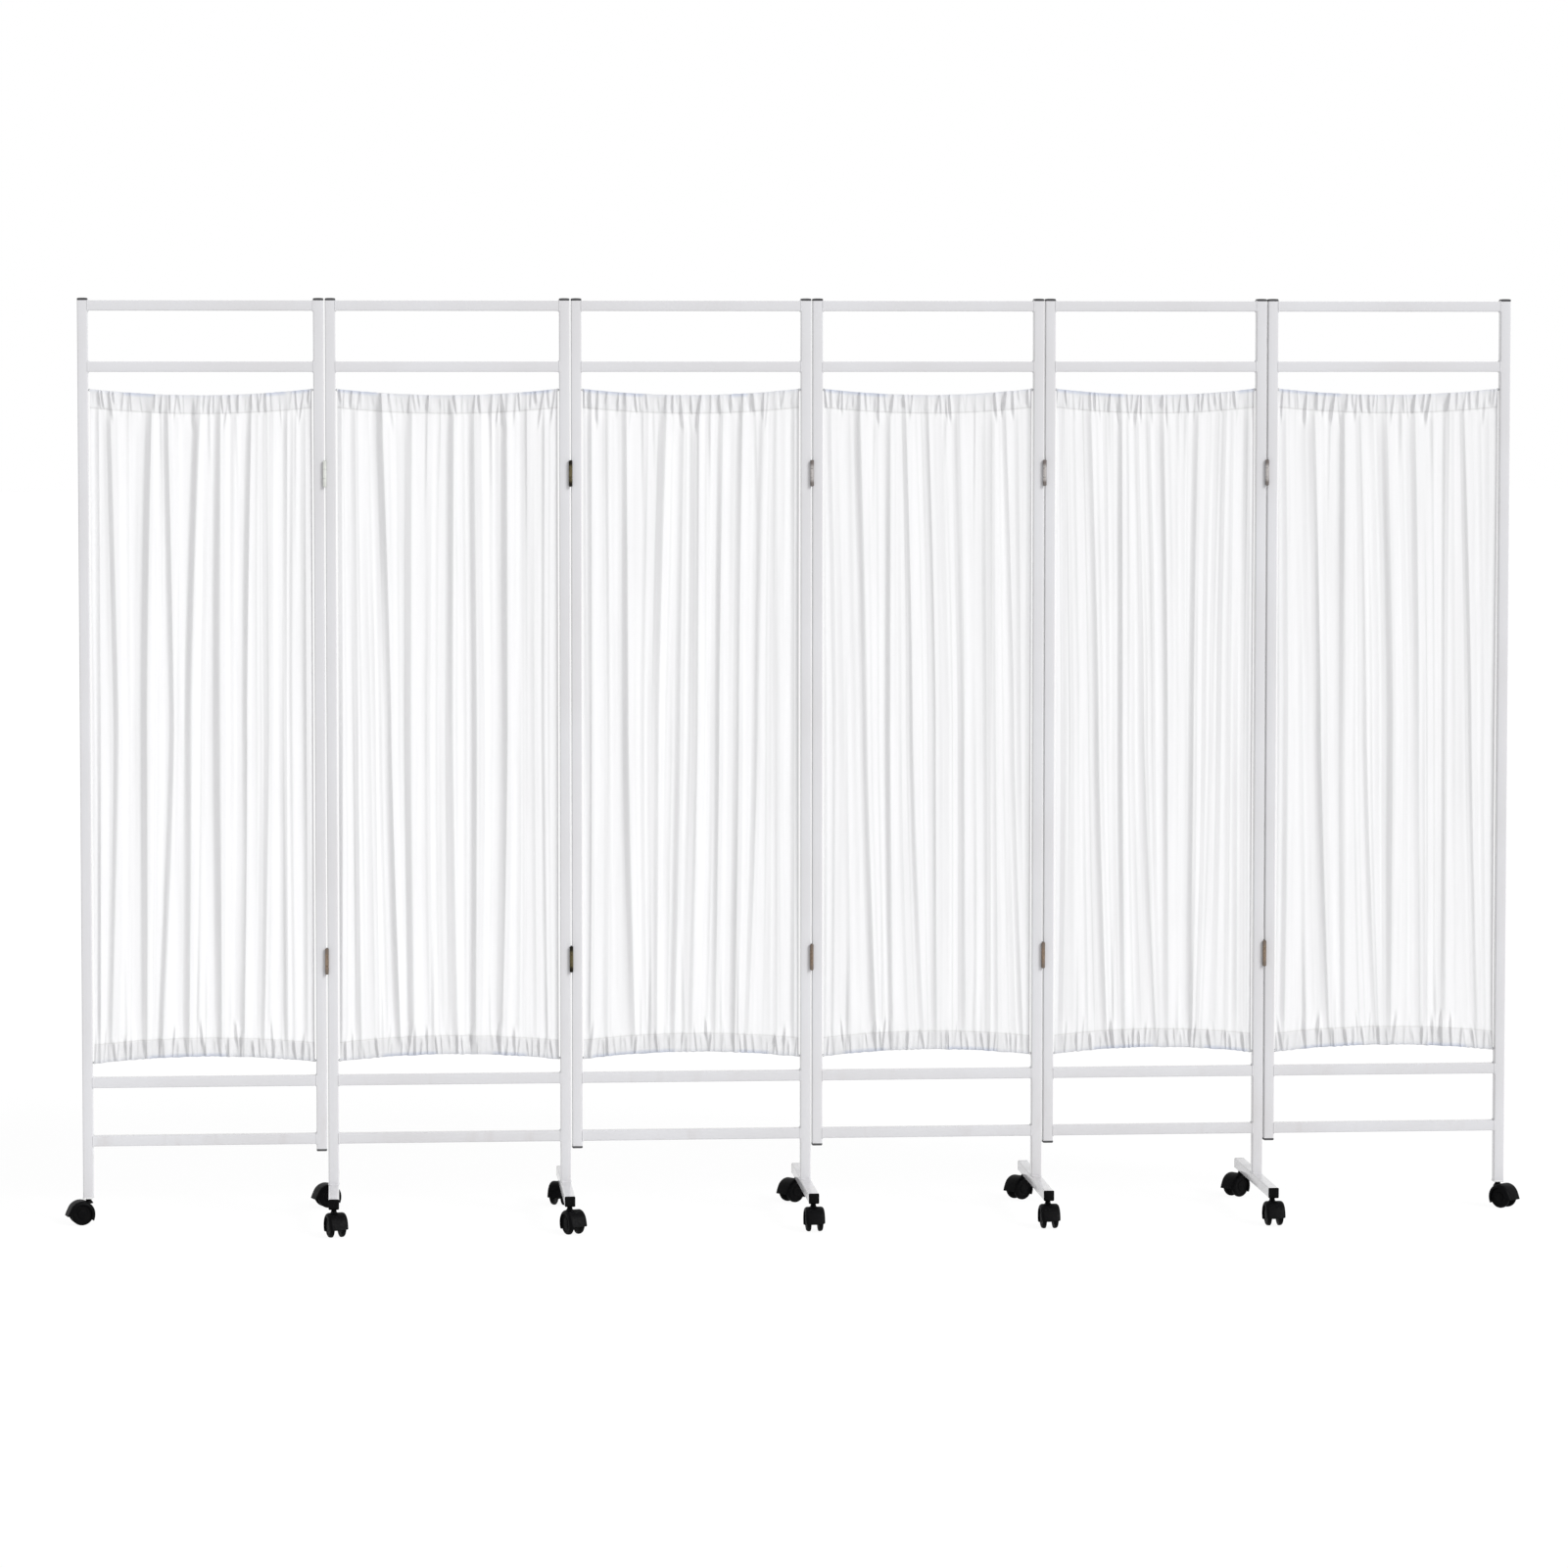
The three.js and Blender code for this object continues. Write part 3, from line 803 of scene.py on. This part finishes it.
def buildCaster(place):
    joints = {j["name"]: j for j in frame["joints"]}
    swivel = Vector(joints[f"caster_{place}_swivel"]["pos_m"])
    roll = Vector(joints[f"caster_{place}_roll"]["pos_m"])
    trail = math.atan2(roll.y - swivel.y, roll.x - swivel.x)
    matrix = Matrix.Translation((swivel.x, swivel.y, 0)) @ Matrix.Rotation(trail, 4, "Z")
    words = "".join(word.title() for word in place.split("_"))
    hood = movedShape(hoodShape(roll.z), matrix)
    wheels = movedShape(wheelsShape(roll.z), matrix)
    stands = [f"caster_{place}_hood"]
    makePiece(f"hood{words}", hood, finishes["hood"], f"swivel_{place}", stands)
    stands = [f"caster_{place}_wheels"]
    makePiece(f"wheels{words}", wheels, finishes["wheel"], f"wheels_{place}", stands)


swivels = [j["name"] for j in frame["joints"] if j["name"].endswith("_swivel")]
casterPlaces = [name[len("caster_"):-len("_swivel")] for name in swivels]
for place in casterPlaces:
    buildCaster(place)
print("casters are made:", len(casterPlaces))


# Curtains

# Folds of each curtain. A row gives where the fold's crest stands across the curtain, in
# hundredths of its width, at the top, halfway down and at the bottom, then how steep its
# flank is in tenths and how broad in thousandths.
mainFolds = {
    1: [
        (4, 4, 3, 6, 13), (9, 12, 8, 6, 18), (28, 25, 24, 10, 36), (35, 37, 31, 9, 26),
        (50, 45, 43, 10, 40), (59, 58, 58, 10, 42), (73, 70, 68, 8, 26), (80, 80, 77, 6, 22),
        (89, 88, 88, 5, 15), (97, 97, 97, 5, 16),
    ],
    2: [
        (2, 2, 1, 9, 24), (8, 9, 10, 7, 22), (14, 17, 18, 4, 14), (20, 24, 28, 10, 34),
        (34, 33, 34, 10, 36), (53, 52, 54, 9, 44), (62, 63, 62, 9, 40), (77, 77, 74, 10, 32),
        (86, 86, 85, 2, 12), (94, 94, 95, 3, 12),
    ],
    3: [
        (4, 4, 3, 8, 18), (11, 12, 11, 4, 16), (20, 21, 24, 8, 44), (39, 35, 34, 9, 46),
        (47, 45, 42, 7, 24), (54, 53, 50, 8, 24), (65, 63, 61, 8, 24), (74, 72, 70, 9, 28),
        (84, 81, 76, 4, 24), (90, 90, 90, 3, 14), (98, 98, 98, 7, 14),
    ],
    4: [
        (3, 6, 5, 5, 14), (17, 21, 26, 9, 40), (32, 32, 34, 9, 20), (39, 43, 49, 7, 20),
        (50, 54, 55, 8, 26), (65, 68, 69, 8, 26), (81, 81, 81, 6, 30), (87, 92, 97, 6, 18),
    ],
    5: [
        (4, 6, 4, 5, 14), (17, 22, 27, 9, 40), (33, 34, 36, 9, 20), (41, 45, 52, 7, 20),
        (54, 57, 58, 8, 26), (72, 70, 69, 8, 28), (83, 80, 75, 4, 24), (90, 89, 88, 3, 14),
        (98, 98, 98, 6, 14),
    ],
    6: [
        (3, 5, 4, 5, 14), (16, 20, 25, 9, 40), (30, 31, 32, 9, 20), (37, 41, 47, 7, 20),
        (49, 53, 53, 8, 26), (62, 65, 67, 8, 26), (78, 78, 78, 6, 30), (84, 89, 93, 6, 18),
        (92, 95, 97, 3, 12),
    ],
}

# Short folds that start at a hem and die away, in hundredths of the width
shortFolds = {
    1: {"upper": (32, 54, 66, 93), "lower": (47, 51, 15, 62)},
    2: {"upper": (41, 47, 70, 86), "lower": (43, 69, 95, 20)},
    3: {"upper": (28, 33, 59, 80), "lower": (27, 31, 47, 64, 72)},
    4: {"upper": (25, 59, 73), "lower": (29, 73, 77, 12)},
    5: {"upper": (27, 62, 66), "lower": (30, 70, 63, 12)},
    6: {"upper": (24, 56, 70), "lower": (28, 70, 74, 14)},
}

# Stretches of the hems, in hundredths of the width, where the wire shows through and the casing is painted
# in shade
wireShadeStretches = {
    1: {"upper": ((15, 29), (79, 88), (91, 99)), "lower": ((25, 60),)},
    2: {"upper": ((0, 18), (84, 97)), "lower": ((20, 44), (70, 85))},
    3: {"upper": ((0, 28), (68, 76)), "lower": ((4, 42), (72, 86))},
    4: {"upper": ((0, 30),), "lower": ((10, 30), (60, 84))},
    5: {"upper": ((0, 34), (92, 100)), "lower": ((20, 50), (76, 98))},
    6: {"upper": ((0, 28),), "lower": ((12, 40), (70, 88))},
}

curtain = {
    "sideGap": 0.003,
    "topSag": 0.012,
    "bottomRise": 0.012,
    "hem": 0.036,
    "wire": 0.0013,  # radius
    "wireSteps": 40,
    "casing": 0.0018,  # middle of the wire to the cloth round it
    "layer": 0.0004,
    "droop": {"arc": 0.0005, "lowArc": 0.0013},  # how far the hems' edges hang slack off the wire
    "slackWaves": (21, 3.3, 4.7),  # across the curtain, in that droop
    "columns": 400,
    "endRows": 22,  # close rows of the mesh below and above the hems
    "endReach": 0.17,
    "middleRows": 52,
    "seed": 40,
    # slope of each curtain's main folds
    "steepest": {1: 1.62, 2: 1.36, 3: 1.18, 4: 0.84, 5: 0.88, 6: 0.88},
    "swell": 0.2,  # how much a main fold grows and shrinks on its way down
    "widthAtHem": 0.6,
    # the steep line at its crest: a share of the curtain, and of the fold
    "lineWidth": (0.014, 0.56),
    "shoulderShare": 0.36,  # slope of the shoulder before it, a share of the steepest
    "shoulderWiden": 1.9,
    "spread": 0.045,  # share of the width over which a fold dies away
    "atHem": 0.75,  # share of a fold's depth that is left at the wire
    "openOver": 0.110,
    "deepest": 0.0086,
    "fineFolds": 44,
    "fineSlope": (0.06, 0.55),
    "fineWidth": (0.006, 0.030),
    "shortSlope": (0.5, 0.9),
    "shortWidth": (0.010, 0.018),
    "shortLength": (0.12, 0.24),
    "shortDrift": 0.06,
    "puckers": 38,
    "puckerShift": 0.45,  # off its even place, and below its lean
    "puckerLean": 0.35,
    "puckerSlopes": (0.4, 1.0, 1.5, 2.0, 2.4),
    "puckerWidth": (0.006, 0.016),
    "puckerSpread": 0.016,
    "puckerLength": (0.006, 0.034),  # beyond the stitching, times one of the next row
    "puckerReach": (-0.4, 0, 0, 1),
    "stitch": {"width": 0.0012, "depth": 0.0006, "across": 150},
    # share of painted shade in the upper and the lower hem
    "hemTint": {"upper": 0.1, "lower": 0.6},
    # painted shade along the wire's casing, stronger where the wire shows through
    "wireTint": {"always": 0.15, "shown": 0.5, "fade": 0.03, "width": 0.0026},
    "billow": 0.0012,
    "broadWaves": 5,
    "gather": 1.15,  # width of the flat cloth for one of the curtain
}


def smoothStep(x):
    x = np.clip(x, 0, 1)
    return x * x * (3 - 2 * x)


def foldStep(offset, width):
    # flank of a fold, which rises softly from the left and ends sharply at its crest
    ramp = np.clip(1 + offset / width, 0, 1)
    return np.where(ramp < 1, 1 - (1 - ramp ** 1.5) ** 1.1, 1)


def creasedStep(offset, width):
    # the same with a soft shoulder, which carries on as a narrow steep line
    line = curtain["lineWidth"][0] + curtain["lineWidth"][1] * width
    share = curtain["shoulderShare"]
    shoulder = width * curtain["shoulderWiden"]
    return share * shoulder * foldStep(offset, shoulder) + (1 - share) * line * foldStep(offset, line)


def lessMean(total, spread):
    # a row of steps less its own running mean, so that each step is a valley and a crest
    reach = max(1, int(spread * total.shape[1]))
    weights = np.exp(-0.5 * (np.arange(-3 * reach, 3 * reach + 1) / reach) ** 2)
    weights /= weights.sum()
    padded = np.pad(total, ((0, 0), (3 * reach, 3 * reach)), mode="reflect", reflect_type="odd")
    return total - np.stack([np.convolve(row, weights, mode="valid") for row in padded])


def placeAt(number, middle, v):
    # where a line runs that is at a share of the width halfway down, between its main folds;
    # v is 1 at the top
    rows = [(0, 0, 0)] + [row[:3] for row in mainFolds[number]] + [(100, 100, 100)]
    top, half, low = [np.array([row[i] for row in rows]) / 100 for i in range(3)]
    shift = np.interp(middle, half, top - half), np.interp(middle, half, low - half)
    return middle + shift[0] * np.clip(2 * v - 1, 0, 1) ** 1.3 + shift[1] * np.clip(1 - 2 * v, 0, 1) ** 1.3


def foldHeights(number, u, down, up, wide):
    # how far the cloth stands towards the front; down and up are metres from its upper and lower edge
    draw = random.Random(curtain["seed"] + number)
    v = up / (up + down)
    ends = smoothStep(np.minimum(down, up) / curtain["openOver"])
    steps = np.zeros_like(u)
    narrow = curtain["widthAtHem"]
    for _, middle, _, slope, breadth in mainFolds[number]:
        at = placeAt(number, middle / 100, v)
        swell = 0.9 + curtain["swell"] * np.sin(draw.uniform(3, 8) * v + draw.uniform(0, 6))
        width = breadth / 1000 * (narrow + (1 - narrow) * ends)
        steps += slope / 10 * curtain["steepest"][number] * swell * creasedStep(u - at, width)
    for level, distance in (("upper", down), ("lower", up)):
        for place in shortFolds[number][level]:
            slope, length = draw.uniform(*curtain["shortSlope"]), draw.uniform(*curtain["shortLength"])
            width = draw.uniform(*curtain["shortWidth"])
            drift = draw.uniform(-curtain["shortDrift"], curtain["shortDrift"])
            at = place / 100 + drift * (distance - curtain["hem"])
            steps += slope * width * np.exp(-(distance / length) ** 3) * foldStep(u - at, width)
    for i in range(curtain["fineFolds"]):
        at = placeAt(number, (i + draw.uniform(0.1, 0.9)) / curtain["fineFolds"], v)
        width = draw.uniform(*curtain["fineWidth"])
        middle, reach = draw.random(), draw.uniform(0.3, 1.0)
        slope = draw.uniform(*curtain["fineSlope"])
        window = np.exp(-((v - middle) / reach) ** 4)
        steps += slope * width * window * foldStep(u - at - 0.004 * np.sin(5 * v + 9 * at), width)
    field = wide * lessMean(steps, curtain["spread"])
    field *= curtain["atHem"] + (1 - curtain["atHem"]) * ends
    puckers = np.zeros_like(u)
    for distance in (down, up):
        for i in range(curtain["puckers"]):
            shift = draw.uniform(-curtain["puckerShift"], curtain["puckerShift"])
            at = (i + 0.5 + shift) / curtain["puckers"]
            lean = draw.uniform(-curtain["puckerLean"], curtain["puckerLean"])
            width = draw.uniform(*curtain["puckerWidth"])
            reach = draw.choice(curtain["puckerReach"]) * draw.uniform(*curtain["puckerLength"])
            length = curtain["hem"] + reach
            height = draw.choice(curtain["puckerSlopes"]) * width * np.exp(-(distance / length) ** 8)
            puckers += height * foldStep(u - at - lean * (distance - curtain["hem"] / 2), width)
    field += wide * lessMean(puckers, curtain["puckerSpread"])
    for i in range(curtain["broadWaves"]):
        waves, drift, phase = draw.uniform(3, 9), draw.uniform(-3, 3), draw.uniform(0, 6)
        share = curtain["billow"] / waves * 4 * ends
        field += share * np.sin(2 * math.pi * waves * u + drift * v + phase) * np.cos(3 * v + 2 * phase)
    return curtain["deepest"] * np.tanh(field / curtain["deepest"])


def wireTint(number, u, down, up):
    # painted shade along the wire's casing, bluer and stronger where the wire shows through
    seen = curtain["wireTint"]
    tint = np.zeros_like(u)
    for level, distance in (("upper", down), ("lower", up)):
        along = np.full_like(u, seen["always"])
        for low, high in wireShadeStretches[number][level]:
            rising = smoothStep((u - low / 100) / seen["fade"] + 0.5)
            along += seen["shown"] * rising * smoothStep((high / 100 - u) / seen["fade"] + 0.5)
        tint += along * np.exp(-((distance - curtain["casing"] / 2) / seen["width"]) ** 2)
    return np.clip(tint, 0, 1)


def clothRows(total):
    # rows from the back hem's edge at the top, over the wire, down the front, and up the back below
    hem, wireDrop = curtain["hem"], curtain["casing"]
    casing = [(d, 1) for d in np.linspace(hem, wireDrop, 7)]
    over = [("arc", angle) for angle in (150, 120, 90, 60, 30)]
    front = [(d, -1) for d in np.linspace(wireDrop, hem - 0.003, 6)]
    stitch, reach = curtain["stitch"]["width"], curtain["endReach"]
    atStitch = [hem - stitch, hem, hem + stitch, hem + 0.004]
    near = np.concatenate([atStitch, np.linspace(hem + 0.009, reach, curtain["endRows"])])
    middle = np.linspace(reach, total - reach, curtain["middleRows"])[1:-1]
    body = [(d, 0) for d in np.concatenate([near, middle, (total - near)[::-1]])]
    lowFront = [(total - d, -2) for d in np.linspace(hem - 0.003, wireDrop, 6)]
    lowOver = [("lowArc", angle) for angle in (30, 60, 90, 120, 150)]
    lowBack = [(total - d, 2) for d in np.linspace(wireDrop, hem, 7)]
    return casing + over + front + body + lowFront + lowOver + lowBack


def hemTint(row):
    # painted shade: the cloth is painted a little greyer where it lies double, most of all in the lower
    # hem
    if row[1] == 0:
        return 0.0
    level = "lower" if row[0] == "lowArc" or abs(row[1]) == 2 else "upper"
    return curtain["hemTint"][level]


def buildCurtain(number):
    low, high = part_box(f"panel_{number}_curtain")
    postLeft, postRight = [corner.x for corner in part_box(f"panel_{number}_frame")]
    left = postLeft + tube["side"] + curtain["sideGap"]
    right = postRight - tube["side"] - curtain["sideGap"]
    u = np.linspace(0, 1, curtain["columns"] + 1)
    bow = 1 - (2 * u - 1) ** 2
    upper = high.z - curtain["topSag"] * bow
    lower = low.z + curtain["bottomRise"] * bow
    tall = high.z - low.z
    rows = clothRows(tall)
    arcs = {"arc": curtain["casing"], "lowArc": tall - curtain["casing"]}
    down = np.array([arcs.get(row[0], row[0]) for row in rows])
    share = down[:, None] / tall
    z = upper[None, :] * (1 - share) + lower[None, :] * share
    grid = np.broadcast_to(u, z.shape)
    downGrid = np.broadcast_to(down[:, None], z.shape)
    h = foldHeights(number, grid, downGrid, tall - downGrid, right - left)
    ring, layer, hem = curtain["casing"], curtain["layer"], curtain["hem"]
    y = np.zeros_like(z)
    quick, uneven, slow = [2 * math.pi * waves * u for waves in curtain["slackWaves"]]
    slack = 0.5 + 0.5 * np.sin(quick + 4 * np.sin(uneven + number))
    slack *= 0.6 + 0.4 * np.sin(slow + 2 * number)
    for i, (first, second) in enumerate(rows):
        near = min(down[i], tall - down[i])
        open_ = max(0.0, 1 - (near - ring) / (hem - ring)) ** 1.4
        frontY = -(open_ * (ring + np.maximum(0, h[i])) + (1 - open_) * (h[i] + layer))
        backY = open_ * (ring + np.maximum(0, -h[i])) + (1 - open_) * (layer - h[i])
        if first in ("arc", "lowArc"):
            angle = math.radians(second)
            way = 1 if first == "arc" else -1
            y[i] = (frontY + backY) / 2 - math.cos(angle) * (backY - frontY) / 2
            z[i] += way * (ring + curtain["droop"][first] * slack) * math.sin(angle)
        elif second > 0:
            y[i] = backY
        else:
            y[i] = frontY
    sewn = curtain["stitch"]
    stitch = np.exp(-((np.minimum(down, tall - down) - hem) / sewn["width"]) ** 2)
    stitch *= np.array([row[1] == 0 for row in rows])
    y += stitch[:, None] * sewn["depth"] * (0.6 + 0.4 * np.sin(grid * 2 * math.pi * sewn["across"]))
    x = np.broadcast_to(left + (right - left) * u, z.shape)
    points = np.stack([x, y + postPlane, z], axis=2).reshape(-1, 3)
    rowCount, columnCount = z.shape
    a = (np.arange(rowCount - 1)[:, None] * columnCount + np.arange(columnCount - 1)[None, :]).reshape(-1)
    faces = np.stack([a, a + columnCount, a + columnCount + 1, a + 1], axis=1)
    name = f"curtain{number}"
    mesh = bpy.data.meshes.new(name)
    mesh.from_pydata(points.tolist(), [], faces.tolist())
    # the flat cloth's own coordinates, in metres, for the weave
    grown = points.reshape(rowCount, columnCount, 3)
    along = np.concatenate([[0], np.cumsum(np.linalg.norm(np.diff(grown, axis=0), axis=2).mean(axis=1))])
    wide = (right - left) * curtain["gather"]
    flatX = np.broadcast_to(u * wide, z.shape)
    flatY = np.broadcast_to(along[:, None], z.shape)
    flat = np.stack([flatX, flatY], axis=2).reshape(-1, 2)
    layerUv = mesh.uv_layers.new(name="flatCloth")
    corners = np.zeros(len(mesh.loops), int)
    mesh.loops.foreach_get("vertex_index", corners)
    layerUv.data.foreach_set("uv", flat[corners].astype(np.float32).reshape(-1))
    patches = 0.65 + 0.35 * np.sin(41 * grid) * np.sin(67 * grid + number)
    marks = {
        # painted shade where the hems lie double
        "doubled": np.array([[hemTint(row)] for row in rows]) * patches,
        # painted shade of the wire's casing, bluer where the wire shows through
        "wireSeen": wireTint(number, grid, downGrid, tall - downGrid),
        # painted shade in the stitching's groove
        "stitchSeen": np.broadcast_to(stitch[:, None], z.shape),
    }
    for key, values in marks.items():
        attribute = mesh.attributes.new(key, "FLOAT", "POINT")
        attribute.data.foreach_set("value", values.reshape(-1).astype(np.float32))
    stands = [f"panel_{number}_curtain"]
    piece = finishPiece(name, mesh, finishes["cloth"], f"panel_{number}", stands, 70)
    wires = buildWires(number, left, right, upper, lower, u)
    lengths = np.linalg.norm(np.diff(grown, axis=1), axis=2).sum(axis=1) / (right - left)
    spread = (lengths.min(), lengths.mean(), lengths.max())
    print(name, "gather by row: least %.3f, mean %.3f, most %.3f" % spread)


eye = {
    "ring": 0.0019,
    "rod": 0.0006,
    "out": 0.0022,
    "washer": 2.4,  # times the rod
    "washerThick": (0.0005, 0.0006),
    "hookRing": 0.0013,
    "hookRod": 0.00045,
    "hookOut": 0.0044,
}


def circlePath(centre, radius, flatAxis, count=20):
    one, two = [i for i in range(3) if i != flatAxis]
    path = []
    for i in range(count):
        angle = 2 * math.pi * i / count
        point = list(centre)
        point[one] += radius * math.cos(angle)
        point[two] += radius * math.sin(angle)
        path.append(point)
    return path


def buildWires(number, left, right, upper, lower, u):
    body = f"panel_{number}"
    eyes, names = newShape(), []
    inset = curtain["sideGap"] - eye["hookOut"] - eye["hookRing"]
    for level, edge, way in (("upper", upper, -1), ("lower", lower, 1)):
        shape = newShape()
        path = []
        for share in np.linspace(0, 1, curtain["wireSteps"] + 1):
            x = left - inset + (right - left + 2 * inset) * share
            path.append((x, postPlane, float(np.interp(share, u, edge)) + way * curtain["casing"]))
        addSweep(shape, path, curtain["wire"], 12)
        wire = makePiece(f"{level}Wire{number}", shape, finishes["wire"], body)
        names.append(wire.name)
        rod, washer = eye["rod"], eye["rod"] * eye["washer"]
        thick, domed = eye["washerThick"]
        ends = [(left - curtain["sideGap"], 1, path[0][2]), (right + curtain["sideGap"], -1, path[-1][2])]
        for x, side, z in ends:
            ringAt = (x + side * (eye["out"] + rod), postPlane, z)
            addSweep(eyes, circlePath(ringAt, eye["ring"], 1), rod, 8, closed=True)
            shank = side * (eye["out"] - eye["ring"] + rod)
            profile = [(0, 0), (washer, 0), (washer, side * thick), (rod, side * domed)]
            profile += [(rod, shank), (0, shank)]
            addLathe(eyes, profile, (x, postPlane, z), 0, 16)
            hookAt = (x + side * eye["hookOut"], postPlane, z)
            addSweep(eyes, circlePath(hookAt, eye["hookRing"], 2), eye["hookRod"], 8, closed=True)
    makePiece(f"wireEyes{number}", eyes, finishes["steel"], body)
    return names


for number in panels:
    buildCurtain(number)
print("curtains and wires are made")


# Floor, light and camera

stage = {
    "floorReach": 60.0,
    "floorColour": tone(250, 250, 250),
    "shadowShare": 0.09,  # how much of the floor's own shading the camera sees
    "floorGlow": 1.03,  # lifts what the camera sees of the floor to plain white
    "skyLevel": 0.55,
    "keyStrength": 2.08,
    "keyFrom": (44, 34),  # degrees to the right of the front, and up
    "keySoftness": 20,
    "keyDistance": 6,
}

camera = {
    "place": (-0.893, -10.0, 1.662),
    "turn": -4.394,
    "tilt": -3.22,
    "lens": 118.2,
    "shift": (0.030, -0.080),  # the screen stands high and a little left in the picture
    "farthest": 200,
}


def buildFloor():
    reach = stage["floorReach"]
    mesh = bpy.data.meshes.new("floor")
    corners = [(-reach, -reach, 0), (reach, -reach, 0), (reach, reach, 0), (-reach, reach, 0)]
    mesh.from_pydata(corners, [], [(0, 1, 2, 3)])
    floor = bpy.data.objects.new("floor", mesh)
    bpy.context.scene.collection.objects.link(floor)
    finish = bpy.data.materials.new("paleFloor")
    finish.use_nodes = True
    tree = finish.node_tree
    tree.nodes.clear()
    output = addNode(tree, "ShaderNodeOutputMaterial")
    plain = addNode(tree, "ShaderNodeBsdfDiffuse", {"Color": stage["floorColour"]})
    white = addNode(tree, "ShaderNodeEmission", {"Color": (1, 1, 1, 1), "Strength": stage["floorGlow"]})
    seen = seenByCamera(tree)
    share = addNode(tree, "ShaderNodeMath", {0: seen, 1: 1 - stage["shadowShare"]}, operation="MULTIPLY")
    blend = addNode(tree, "ShaderNodeMixShader", {"Fac": share.outputs[0]})
    tree.links.new(plain.outputs[0], blend.inputs[1])
    tree.links.new(white.outputs[0], blend.inputs[2])
    tree.links.new(blend.outputs[0], output.inputs["Surface"])
    mesh.materials.append(finish)


def seenByCamera(tree):
    path = addNode(tree, "ShaderNodeLightPath").outputs
    inputs = {0: path["Is Camera Ray"], 1: path["Is Glossy Ray"]}
    both = addNode(tree, "ShaderNodeMath", inputs, operation="MAXIMUM")
    inputs = {0: both.outputs[0], 1: path["Is Transmission Ray"]}
    return addNode(tree, "ShaderNodeMath", inputs, operation="MAXIMUM").outputs[0]


def buildLight():
    world = bpy.data.worlds.new("studio")
    bpy.context.scene.world = world
    world.use_nodes = True
    tree = world.node_tree
    tree.nodes.clear()
    sky = addNode(tree, "ShaderNodeBackground", {"Color": (1, 1, 1, 1), "Strength": stage["skyLevel"]})
    white = addNode(tree, "ShaderNodeBackground", {"Color": (1, 1, 1, 1), "Strength": 1.0})
    blend = addNode(tree, "ShaderNodeMixShader", {"Fac": seenByCamera(tree)})
    tree.links.new(sky.outputs[0], blend.inputs[1])
    tree.links.new(white.outputs[0], blend.inputs[2])
    output = addNode(tree, "ShaderNodeOutputWorld")
    tree.links.new(blend.outputs[0], output.inputs["Surface"])
    lamp = bpy.data.lights.new("key", "SUN")
    lamp.energy = stage["keyStrength"]
    lamp.angle = math.radians(stage["keySoftness"])
    key = bpy.data.objects.new("key", lamp)
    bpy.context.scene.collection.objects.link(key)
    side, up = [math.radians(angle) for angle in stage["keyFrom"]]
    way = Vector((math.sin(side) * math.cos(up), -math.cos(side) * math.cos(up), math.sin(up)))
    key.rotation_euler = way.to_track_quat("Z", "Y").to_euler()
    key.location = way * stage["keyDistance"]


def buildCamera():
    lens = bpy.data.cameras.new("view")
    lens.lens = camera["lens"]
    lens.shift_x, lens.shift_y = camera["shift"]
    lens.clip_end = camera["farthest"]
    view = bpy.data.objects.new("view", lens)
    bpy.context.scene.collection.objects.link(view)
    view.location = camera["place"]
    view.rotation_euler = (math.radians(90 + camera["tilt"]), 0, math.radians(camera["turn"]))
    bpy.context.scene.camera = view


buildFloor()
buildLight()
buildCamera()
bpy.context.scene.view_settings.view_transform = "Standard"
print("floor, light and camera are set")
